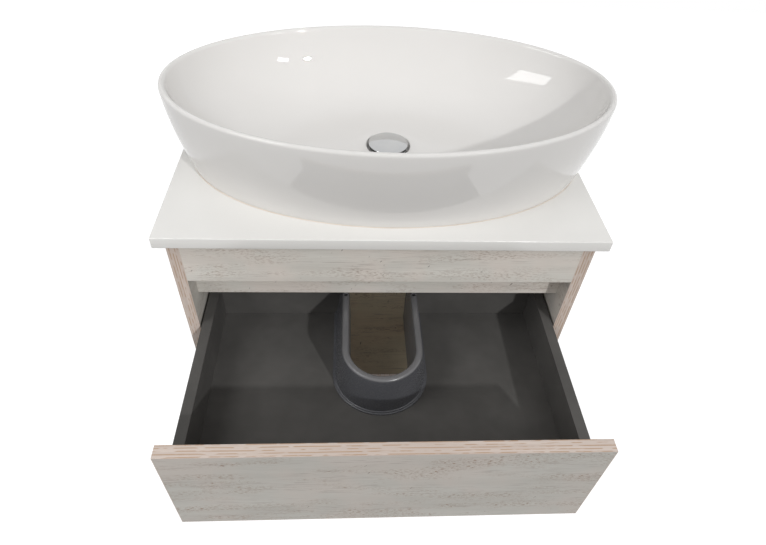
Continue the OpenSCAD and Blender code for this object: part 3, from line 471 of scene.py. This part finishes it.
# %% Metals
FINISH["chrome"] = plain_finish(
    "chrome", dark=(0.520, 0.525, 0.530), light=(0.560, 0.562, 0.560),
    rough=(0.05, 0.09), depth=0.003 * MM, clouds=20.0, grain=900.0, Metallic=1.0)
FINISH["zinc"] = plain_finish(
    "zinc plate", dark=(0.42, 0.43, 0.44), light=(0.62, 0.63, 0.64),
    rough=(0.28, 0.42), depth=0.02 * MM, clouds=90.0, grain=1800.0, Metallic=1.0)
FINISH["ball steel"] = plain_finish(
    "ball steel", dark=(0.50, 0.50, 0.51), light=(0.62, 0.62, 0.63),
    rough=(0.10, 0.16), depth=0.004 * MM, clouds=60.0, grain=2500.0, Metallic=1.0)
print("metals ready")

# %% Rubber, sealant and plastics
FINISH["rubber"] = plain_finish(
    "black rubber", dark=(0.018, 0.018, 0.018), light=(0.035, 0.034, 0.033),
    rough=(0.55, 0.75), depth=0.06 * MM, clouds=40.0, grain=1200.0)
FINISH["sealant"] = plain_finish(
    "beige sealant", dark=(0.70, 0.62, 0.54), light=(0.78, 0.71, 0.64),
    rough=(0.30, 0.45), depth=0.05 * MM, clouds=30.0, grain=700.0)
FINISH["white plastic"] = plain_finish(
    "white acetal", dark=(0.70, 0.70, 0.68), light=(0.78, 0.78, 0.76),
    rough=(0.35, 0.48), depth=0.02 * MM, clouds=25.0, grain=1500.0)
FINISH["grey plastic"] = plain_finish(
    "grey moulding", dark=(0.24, 0.25, 0.26), light=(0.31, 0.32, 0.33),
    rough=(0.38, 0.50), depth=0.03 * MM, clouds=25.0, grain=1500.0)
FINISH["orange plastic"] = plain_finish(
    "orange lever", dark=(0.66, 0.14, 0.02), light=(0.80, 0.20, 0.03),
    rough=(0.35, 0.48), depth=0.03 * MM, clouds=25.0, grain=1500.0)
FINISH["green plastic"] = plain_finish(
    "green cage", dark=(0.03, 0.14, 0.06), light=(0.05, 0.20, 0.09),
    rough=(0.40, 0.52), depth=0.03 * MM, clouds=25.0, grain=1500.0)
print("finishes in all:", len(FINISH))

# %% [markdown]
# ## Dress the CAD nodes
# Boards, pipes and screws have the right shape already. They could be modelled again, but nothing
# would be gained by it, so each keeps its mesh and only gets a finish in its material slot.

# %% Give each CAD node its finish
WEAR = {
    "laminate across": "drawer_front",
    "laminate rails": "fascia grip_rail hanging_rail rear_rail",
    "laminate inside": "bottom_panel",
    "laminate back": "side_panel_left side_panel_right",
    "band up": "side_edging",
    "band across": "drawer_front_edging",
    "anthracite": "drawer_side_left drawer_side_right drawer_bottom drawer_back_left"
                  " drawer_back_right",
    "chrome": "waste_body waste_nut trap_inlet_pipe trap_inlet_nut trap_body trap_cup outlet_nut"
              " outlet_pipe wall_rosette",
    "zinc": "slab_brackets slab_screws cam_discs cam_bolts hanger_hooks hanger_screws wall_plates"
            " cabinet_rail_left cabinet_rail_right rail_screws drawer_rail_left drawer_rail_right"
            " drawer_cams drawer_screws collar_screws",
    "ball steel": "rail_balls_left rail_balls_right",
    "rubber": "cap_seal waste_seal waste_gasket trap_seals",
    "sealant": "basin_sealant",
    "white plastic": "click_cartridge hanger_boxes",
    "grey plastic": "lock_clip_left lock_clip_right",
    "orange plastic": "release_lever_left release_lever_right",
    "green plastic": "ball_cage_left ball_cage_right",
    "beech": "dowels drawer_dowels",
}
for name, nodes in WEAR.items():
    for node in nodes.split():
        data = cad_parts[node].data
        data.materials.clear()
        data.materials.append(FINISH[name])
print("dressed", sum(len(nodes.split()) for nodes in WEAR.values()), "CAD nodes")

# %% [markdown]
# ## Tools for new pieces
# Turned and moulded forms are made as rings of points that are joined into a skin, which is how a
# potter's wheel or a mould maker would see them. A rough cage under a Subdivision Surface modifier
# could make them too, but its size comes out of the smoothing, and here each ring has its exact
# size. The result is one closed mesh.

# %% Mesh helpers
def piece_from(name, mesh):
    """Makes an object of a bmesh, and frees the bmesh."""
    data = bpy.data.meshes.new(name)
    mesh.to_mesh(data)
    mesh.free()
    piece = bpy.data.objects.new(name, data)
    bpy.context.collection.objects.link(piece)
    return piece


def skin(name, rings, loop_rings=False):
    """Joins rings of points into a closed mesh.

    The end rings are capped, or joined to each other where loop_rings is true.
    """
    mesh = bmesh.new()
    rows = [[mesh.verts.new(point) for point in ring] for ring in rings]
    pairs = list(zip(rows, rows[1:])) + ([(rows[-1], rows[0])] if loop_rings else [])
    for lower, upper in pairs:
        for i in range(len(lower)):
            j = (i + 1) % len(lower)
            mesh.faces.new((lower[i], lower[j], upper[j], upper[i]))
    if not loop_rings:
        mesh.faces.new(list(reversed(rows[0])))
        mesh.faces.new(rows[-1])
    bmesh.ops.recalc_face_normals(mesh, faces=mesh.faces)
    return piece_from(name, mesh)


def smooth(piece, angle):
    """Shades the piece smooth, and keeps edges sharper than this angle crisp."""
    piece.data.shade_smooth()
    piece.data.set_sharp_from_angle(angle=math.radians(angle))


def settle(piece, body, finish_name, slot, *nodes):
    """Finishes a new piece, lets it ride on its body, and stands it in for its CAD nodes."""
    piece.data.materials.append(FINISH[finish_name])
    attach(piece, body)
    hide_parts(*nodes)
    print(piece.name, "has", len(piece.data.polygons), "faces")


print("mesh helpers ready")

# %% [markdown]
# ## Tools for outlines
# A ring is an oval or a circle, and an outline is a run of straight stretches and arcs. Written as
# formulas they need only a centre, a size and a number of steps, where a list of typed points
# would hide the shape.

# %% Outline helpers
def steps(start, end, count):
    """Evenly spaced numbers from start to end, with count steps between them."""
    return [start + (end - start) * i / count for i in range(count + 1)]


def arc(centre, radii, start, end, count):
    """Points (outward, upward) on an arc about a centre, between two angles in degrees."""
    turns = [math.radians(a) for a in steps(start, end, count)]
    return [(centre[0] + radii[0] * math.cos(a), centre[1] + radii[1] * math.sin(a))
            for a in turns]


def oval(x, y, z, half_x, half_y, count):
    """A level oval ring around (x, y) at height z."""
    turns = [2 * math.pi * i / count for i in range(count)]
    return [(x + half_x * math.cos(a), y + half_y * math.sin(a), z) for a in turns]


print("outline helpers ready")

# %% [markdown]
# ## The basin
# A vessel basin is slip-cast: a thin shell with a rounded rim, an outer wall that leans out, and a
# bowl that stays almost flat and then sweeps up. It is hollow underneath, and stands on a foot ring
# and on a boss around the waste. It could be a thin surface with a Solidify modifier, but a real
# shell isn't equally thick all over. So it is drawn as one closed profile, as (outward, upward)
# points, and turned.

# %% Basin sizes
low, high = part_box("basin")
centre = (low + high) / 2
BASIN_X, BASIN_Y, BASIN_Z = centre[0], centre[1], low[2]
HALF_X, HALF_Y, BASIN_H = (high[0] - low[0]) / 2, (high[1] - low[1]) / 2, high[2] - low[2]
# The outer wall leans out from the foot. The higher its curve, the fuller it is low down.
FOOT_SHARE, WALL_CURVE = 0.922, 1.6
FOOT_R = HALF_Y * FOOT_SHARE
# The lip is a quarter round outside, and falls over a longer arc into the bowl
RIM, LIP, LIP_IN, LIP_FALL = 10.24 * MM, 4.5 * MM, 6.5 * MM, 9.0 * MM
LIP_Z = BASIN_H - LIP
# The bowl sweeps up from its floor. The higher its curve, the flatter it starts.
BOWL_FLOOR, BOWL_TOP, BOWL_CURVE = 17.0 * MM, BASIN_H - 4.8 * MM, 4
# The round recess under the cap, and the waste hole in it
RECESS_TOP, RECESS_LOW, RECESS_Z, WASTE_R = 37.0 * MM, 32.5 * MM, 9.5 * MM, 23.0 * MM
# The hollow underside, between the foot ring and the boss
SHELL, FOOT_RING, BOSS = 10.0 * MM, 14.0 * MM, 50.0 * MM
HOLLOW_R = FOOT_R - FOOT_RING
print("basin is", round(2 * HALF_X / MM), "x", round(2 * HALF_Y / MM), "x",
      round(BASIN_H / MM), "mm")


# %% Basin profile
def wall_radius(z):
    """How far out the outer wall is at a height."""
    return FOOT_R + (HALF_Y - FOOT_R) * (1 - (1 - z / LIP_Z) ** WALL_CURVE)


def bowl_height(r):
    """How high the bowl is at a distance from its middle."""
    rise = max(r - RECESS_TOP, 0.0) / (HALF_Y - RIM - RECESS_TOP)
    return BOWL_FLOOR + (BOWL_TOP - BOWL_FLOOR) * rise ** BOWL_CURVE


# Up the outer wall, whose foot is eased, and over the lip
profile = [(wall_radius(z), z) for z in steps(0.0, LIP_Z, 28)]
profile[0] = (profile[0][0] - 0.6 * MM, 0.0)
profile += arc((HALF_Y - LIP, LIP_Z), (LIP, LIP), 12, 90, 8)
outside = len(profile)
# Down the bowl
profile += arc((HALF_Y - LIP, BASIN_H - LIP_FALL), (LIP_IN, LIP_FALL), 98, 148, 6)
profile += [(r, bowl_height(r)) for r in steps(HALF_Y - RIM, RECESS_TOP + 1.6 * MM, 56)]
# Over the eased edge of the recess, across its floor, and down the waste hole
profile += [(RECESS_TOP + 0.5 * MM, BOWL_FLOOR),
            (RECESS_TOP - 0.2 * MM, BOWL_FLOOR - 0.2 * MM),
            (RECESS_TOP - 0.8 * MM, BOWL_FLOOR - 0.9 * MM),
            (RECESS_LOW + 0.7 * MM, RECESS_Z + 1.0 * MM),
            (RECESS_LOW, RECESS_Z + 0.2 * MM),
            (RECESS_LOW - 0.8 * MM, RECESS_Z),
            (WASTE_R + 0.6 * MM, RECESS_Z),
            (WASTE_R, RECESS_Z - 0.6 * MM),
            (WASTE_R, 0.0)]
# Under the boss, along the underside of the shell, and down the inside of the foot ring
profile += [(BOSS, 0.0), (BOSS, SHELL * 0.68)]
profile += [(r, bowl_height(r) - SHELL) for r in steps(BOSS + 2 * MM, HOLLOW_R + 4 * MM, 12)]
profile += [(HOLLOW_R, 0.0)]
print("the profile has", len(profile), "points")

# %% [markdown]
# ## From round to oval
# Scaling a round basin along its width would be the quick way, but it makes the rim thicker at the
# two ends and the waste hole oval. So each ring gets its own half width. The outer wall is a plain
# stretch. The rim keeps its thickness all around, the bowl below it goes over to a stretch step by
# step, and the recess and the waste hole stay round.

# %% Turn the basin
AROUND, RIM_FROM = 192, 0.8


def half_width(i, r, z):
    """Half width of the ring at point i of the profile, whose half depth is r and height z."""
    even_rim = HALF_X - (HALF_Y - r)
    if i < outside:
        return even_rim if z >= LIP_Z else r * HALF_X / HALF_Y
    if r <= RECESS_TOP + 1.0 * MM:
        return r
    bowl_r = HALF_Y - RIM
    near_rim = min(max((r / bowl_r - RIM_FROM) / (1 - RIM_FROM), 0.0), 1.0)
    near_rim = near_rim ** 2 * (3 - 2 * near_rim)
    return near_rim * even_rim + (1 - near_rim) * r * (HALF_X - RIM) / bowl_r


rings = [oval(BASIN_X, BASIN_Y, BASIN_Z + z, half_width(i, r, z), r, AROUND)
         for i, (r, z) in enumerate(profile)]
basin = skin("vessel_basin", rings, loop_rings=True)
smooth(basin, angle=50.0)
settle(basin, "cabinet", "glaze", "glaze", "basin")

# %% [markdown]
# ## The countertop
# The top is a slab whose edges were broken with a fine radius before polishing. The Bevel node
# would only fake that, and the long front edge is near enough to the eye to show. So a Bevel
# modifier makes the radius, and a Boolean modifier drills the waste hole, as a hole saw would.

# %% Tools for cutting
def make_final(piece, modifier):
    """Turns what a modifier shows into the piece's own mesh."""
    bpy.context.view_layer.objects.active = piece
    with bpy.context.temp_override(object=piece, active_object=piece):
        bpy.ops.object.modifier_apply(modifier=modifier.name)


def drill(piece, *cutters):
    """Cuts the cutters out of the piece, and deletes them."""
    for cutter in cutters:
        cut = piece.modifiers.new("cut", "BOOLEAN")
        cut.object, cut.operation, cut.solver = cutter, "DIFFERENCE", "EXACT"
        make_final(piece, cut)
        bpy.data.objects.remove(cutter)


def rod(x, y, low, high, radius, count):
    """A round cutter along Z."""
    return skin("cutter", [oval(x, y, z, radius, radius, count) for z in (low, high)])


OVERCUT = 10 * MM
print("cutting tools ready")

# %% Countertop
ARRIS = 1.2 * MM
low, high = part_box("countertop")
outline = [(low[0], low[1]), (high[0], low[1]), (high[0], high[1]), (low[0], high[1])]
countertop = skin("white_countertop", [[(x, y, z) for x, y in outline] for z in (low[2], high[2])])
bevel = countertop.modifiers.new("broken arris", "BEVEL")
bevel.width, bevel.segments, bevel.limit_method = ARRIS, 4, "NONE"
make_final(countertop, bevel)
drill(countertop, rod(BASIN_X, BASIN_Y, low[2] - OVERCUT, high[2] + OVERCUT, WASTE_R, 72))
smooth(countertop, angle=30.0)
settle(countertop, "cabinet", "top", "slab", "countertop")

# %% [markdown]
# ## The cap over the waste
# The cap is a shallow chromed dome on a stem, standing a few millimetres proud of the waste's
# flange so that water runs under it. A flattened sphere would do for the dome, but not for the
# small rounded edge under it that catches the light, so the cap is turned from a profile too. It
# is pressed to close, so it rides on its own body.

# %% Cap
low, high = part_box("drain_cap")
CAP_R, CAP_TOP, CAP_FOOT = (high[0] - low[0]) / 2, high[2], low[2]
CAP_THICK, CAP_HOLLOW, STEM_R, DOME_LOW = 5.0 * MM, 2.0 * MM, 4.9 * MM, 1.5 * MM
CAP_BASE = CAP_TOP - CAP_THICK
DOME_R, DOME_RISE = CAP_R - 1.0 * MM, CAP_THICK - DOME_LOW
SPHERE_R = (DOME_R ** 2 + DOME_RISE ** 2) / (2 * DOME_RISE)
# Up the stem, across the hollow underside, and around the rounded edge
profile = [(STEM_R - 0.6 * MM, CAP_FOOT),
           (STEM_R, CAP_FOOT + 0.6 * MM),
           (STEM_R, CAP_BASE + CAP_HOLLOW),
           (CAP_R - 7 * MM, CAP_BASE + CAP_HOLLOW),
           (CAP_R - 4 * MM, CAP_BASE),
           (CAP_R - 0.6 * MM, CAP_BASE),
           (CAP_R - 0.1 * MM, CAP_BASE + 0.35 * MM),
           (CAP_R, CAP_BASE + 0.75 * MM),
           (CAP_R - 0.3 * MM, CAP_BASE + 1.15 * MM)]
# Over the dome, which is a slice of a large sphere
profile += [(r, CAP_TOP - SPHERE_R + math.sqrt(SPHERE_R ** 2 - r ** 2))
            for r in (DOME_R * (1 - share) for share in steps(0.0, 0.99, 24))]
cap = skin("chromed_cap", [oval(BASIN_X, BASIN_Y, z, r, r, 128) for r, z in profile])
smooth(cap, angle=40.0)
settle(cap, "pop_up_cap", "chrome", "chrome", "drain_cap")

# %% [markdown]
# ## The collar around the siphon recess
# The drawer's bottom is open where the trap hangs, and a plastic moulding lines that opening: a
# skirt that flares down to two beads, a rolled rim, and a sleeve that drops through the bottom. A
# curve with a bevel profile could follow the opening, but it keeps one section all the way, and
# this skirt flares along the arms and stands upright at the front. So each point of the section
# says how wide its own U is, where the centre of its arc lies, and how high it is.

# %% Collar section
low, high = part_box("siphon_collar")
ARM_END, COLLAR_TOP, SLEEVE_LOW = high[1], high[2], low[2]
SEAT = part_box("drawer_bottom")[1][2]
RIM_OUT, RIM_IN, FOOT_HALF, PASSAGE = 63 * MM, 52 * MM, 75 * MM, 48.5 * MM
RIM_Y, FOOT_Y, WALL, ROLL_R = -500 * MM, -488 * MM, 2.5 * MM, 4.0 * MM
ROLL_Z = COLLAR_TOP - ROLL_R
# The two beads around the foot, in millimetres out from the skirt and up from the drawer's bottom
BEADS = ((3.5, 0.0), (3.5, 2.0), (2.9, 2.9), (1.9, 3.1), (1.6, 3.5), (1.5, 5.2), (0.9, 6.0),
         (-0.4, 6.3))


def between(start, end, share):
    """A point that lies a share of the way from start to end."""
    return tuple(a + (b - a) * share for a, b in zip(start, end))


foot, under_rim = (FOOT_HALF, FOOT_Y, SEAT), (RIM_OUT, RIM_Y, ROLL_Z)
inner_rim, sleeve_end = (RIM_IN, RIM_Y, ROLL_Z), (PASSAGE, RIM_Y, SLEEVE_LOW)
rolled = (arc((RIM_OUT - ROLL_R, ROLL_Z), (ROLL_R, ROLL_R), 15, 90, 6)
          + arc((RIM_IN + ROLL_R, ROLL_Z), (ROLL_R, ROLL_R), 90, 170, 6))

section = [(FOOT_HALF + out * MM, FOOT_Y, SEAT + up * MM) for out, up in BEADS]
section += [between(foot, under_rim, share) for share in steps(0.10, 1.0, 8)]
section += [(half, RIM_Y, z) for half, z in rolled]
section += [between(inner_rim, sleeve_end, share) for share in steps(0.0, 1.0, 8)]
# Back up between sleeve and skirt, one wall's thickness inside them
section += [(PASSAGE + WALL, RIM_Y, SLEEVE_LOW),
            (RIM_IN + WALL, RIM_Y, COLLAR_TOP - WALL),
            (RIM_OUT - WALL - 0.8 * MM, RIM_Y, COLLAR_TOP - WALL - 1 * MM),
            (FOOT_HALF - WALL, FOOT_Y, SEAT)]
print("the section has", len(section), "points")


# %% Carry the section along the U
def around_u(half, centre_y, arm, turn):
    """A point of a U: on the right arm (turn 0), around the front, or on the left arm (turn 1)."""
    if 0 < turn < 1:
        return half * math.cos(math.pi * turn), centre_y - half * math.sin(math.pi * turn)
    return (half if turn == 0 else -half), ARM_END + (centre_y - ARM_END) * arm


stations = [(arm, 0) for arm in steps(0, 1, 10)]
stations += [(1, turn) for turn in steps(0.02, 0.98, 48)]
stations += [(arm, 1) for arm in steps(1, 0, 10)]
rings = [[(*around_u(half, centre_y, arm, turn), z) for half, centre_y, z in section]
         for arm, turn in stations]
collar = skin("siphon_collar_moulding", rings)

SCREW_X, SCREW_Y, SCREW_HOLE_R, SCREW_SEAT = 57.5 * MM, ARM_END - 35 * MM, 3.3 * MM, 6 * MM
drill(collar, *[rod(x, SCREW_Y, SEAT + SCREW_SEAT, COLLAR_TOP + OVERCUT, SCREW_HOLE_R, 32)
                for x in (-SCREW_X, SCREW_X)])
smooth(collar, angle=32.0)
settle(collar, "drawer", "slate", "slate", "siphon_collar")

# %% [markdown]
# ## The painted light on the rim
# The collar's rim is painted paler than the rest over its last millimetres: painted light, for the
# light that the up-facing rim catches. A second material on its top faces would end in a hard line.
# So the height of the surface is read from the object's coordinates and sent through a soft ramp,
# which fades the paler tone in over the last millimetres.

# %% Paint light onto the rim top
# The paler top tone is painted light, for the light that the up-facing rim catches.
LIGHT_PAINTED_FROM, LIGHT_PAINTED_TO = COLLAR_TOP - 5 * MM, COLLAR_TOP - 1 * MM
PAINTED_LIGHT_TONE = (0.128, 0.127, 0.132)
tree = FINISH["slate"].node_tree
color_in = tree.nodes["Principled BSDF"].inputs["Base Color"]
where = add(tree, "ShaderNodeTexCoord").outputs["Object"]
height = add(tree, "ShaderNodeSeparateXYZ", {0: where}).outputs["Z"]
slate_tone = color_in.links[0].from_socket
near_top = ramp(tree, height, LIGHT_PAINTED_FROM, LIGHT_PAINTED_TO)
tree.links.new(mix(tree, near_top, slate_tone, PAINTED_LIGHT_TONE), color_in)
print("the collar is rubbed from", round(LIGHT_PAINTED_FROM, 4), "up")

# %% [markdown]
# ## The floor
# The cabinet hangs clear of a pale studio floor. To light a real floor up to white would take so
# much light that the object would bleach. So it is a dull grey that throws a little light back and
# takes the object's shadow, and it glows for rays that see it directly: from the camera, from a
# mirror-like surface, or through glass. To all other rays it is only grey, so that its glow doesn't
# light the object from below.

# %% Floor
def seen_directly(tree):
    """1 for rays from the camera, from a mirror-like surface or through glass, 0 for all others."""
    ray = add(tree, "ShaderNodeLightPath").outputs
    seen = math_node(tree, "ADD", ray["Is Camera Ray"], ray["Is Glossy Ray"], clamp=True)
    return math_node(tree, "ADD", seen, ray["Is Transmission Ray"], clamp=True)


FLOOR_Z, FLOOR_SIDE, FLOOR_FRONT, FLOOR_BACK = -0.78, 4.0, -5.0, 3.0
FLOOR_GREY, FLOOR_GLOW, WHITE = (0.25, 0.25, 0.25, 1.0), 0.94, (1.0, 1.0, 1.0, 1.0)
corners = [(-FLOOR_SIDE, FLOOR_FRONT), (FLOOR_SIDE, FLOOR_FRONT),
           (FLOOR_SIDE, FLOOR_BACK), (-FLOOR_SIDE, FLOOR_BACK)]
mesh = bmesh.new()
mesh.faces.new([mesh.verts.new((x, y, FLOOR_Z)) for x, y in corners])
floor = piece_from("floor", mesh)

material = bpy.data.materials.new("pale floor")
material.use_nodes = True
tree = material.node_tree
tree.nodes.clear()
dull = add(tree, "ShaderNodeBsdfDiffuse", {"Color": FLOOR_GREY}).outputs[0]
glow = add(tree, "ShaderNodeEmission", {"Color": WHITE, "Strength": FLOOR_GLOW}).outputs[0]
glowing = add(tree, "ShaderNodeAddShader", {0: dull, 1: glow}).outputs[0]
surface = add(tree, "ShaderNodeMixShader", {0: seen_directly(tree), 1: dull, 2: glowing})
add(tree, "ShaderNodeOutputMaterial", {"Surface": surface.outputs[0]})
floor.data.materials.append(material)
print("floor at", FLOOR_Z)

# %% [markdown]
# ## The world
# The world is the backdrop and the light that comes from everywhere. One strength for both would
# give either a grey backdrop or flat light. So it is white where it is seen directly, and only a
# weak light to everything else, which leaves the shadows to the lamps.

# %% World
AMBIENT = 0.28
world = bpy.data.worlds.new("studio")
bpy.context.scene.world = world
world.use_nodes = True
tree = world.node_tree
tree.nodes.clear()
strength = add(tree, "ShaderNodeMath", {0: seen_directly(tree), 1: 1.0 - AMBIENT, 2: AMBIENT},
               operation="MULTIPLY_ADD")
backdrop = add(tree, "ShaderNodeBackground", {"Color": WHITE, "Strength": strength.outputs[0]})
add(tree, "ShaderNodeOutputWorld", {"Surface": backdrop.outputs[0]})
print("the world lights with strength", AMBIENT)

# %% [markdown]
# ## The lamps
# A distant lamp at the front right draws the crisp shadows. A softbox at the front left makes the
# rectangle that shines in the bowl, and a small lamp beside the key makes a second spark. Wide
# fills at the left, right, top and back soften the shadows in the drawer and keep the back from
# going dark. More world light could do that too, but it comes from all sides at once and would
# wash the forms out. The fills aren't mirrored in the glaze, as if they were bounced off matt
# walls.

# %% Lamps
def lamp(name, kind, at, toward, power, long_way=(1, 0.001, 0), shines=True, **settings):
    """A lamp at one place, aimed at another, with its width as near to long_way as can be.

    One that doesn't shine still gives light, but isn't mirrored in glossy surfaces.
    """
    light = bpy.data.lights.new(name, kind)
    light.energy = power
    for key, value in settings.items():
        setattr(light, key, value)
    holder = bpy.data.objects.new(name, light)
    bpy.context.collection.objects.link(holder)
    back = (Vector(at) - Vector(toward)).normalized()
    long_way = Vector(long_way)
    sideways = (long_way - back * long_way.dot(back)).normalized()
    axes = Matrix((sideways, back.cross(sideways), back)).transposed().to_4x4()
    holder.matrix_world = Matrix.Translation(at) @ axes
    holder.visible_glossy = shines
    return holder


UNDER_BASIN, BOWL_END = (0, 0.03, -0.1), (0.245, -0.12, 0.155)
IN_DRAWER, IN_CABINET = (0, -0.4, 0), (0, -0.2, 0)
lamps = [
    lamp("key", "SUN", at=(1.83, -3.28, 2.37), toward=UNDER_BASIN, power=1.2,
         angle=math.radians(1.8)),
    lamp("softbox", "AREA", at=(-1.10, -0.84, 1.45), toward=BOWL_END, power=6.5,
         long_way=(-0.565, 0.819, -0.1), shape="RECTANGLE", size=0.70, size_y=0.50),
    lamp("left fill", "AREA", at=(-2.2, -2.0, 1.5), toward=IN_DRAWER, power=21.0,
         shines=False, size=1.4),
    lamp("right fill", "AREA", at=(1.6, -1.6, 1.6), toward=IN_DRAWER, power=8.0,
         shines=False, size=1.0),
    lamp("rear fill", "AREA", at=(0.7, 1.9, 2.5), toward=IN_CABINET, power=9.0,
         shines=False, size=1.6),
    lamp("top fill", "AREA", at=(0.9, 0.1, 2.2), toward=IN_DRAWER, power=2.0,
         shines=False, size=1.2),
    lamp("sparkle", "AREA", at=(1.96, -2.72, 2.34), toward=UNDER_BASIN, power=4.0, size=0.24),
]
print("lamps:", ", ".join(holder.name for holder in lamps))

# %% [markdown]
# ## Finish
# Blender's default view transform, AgX, greys and softens bright colours, as film does. Standard
# shows each colour as it is written.

# %% Finish
bpy.context.scene.view_settings.view_transform = "Standard"
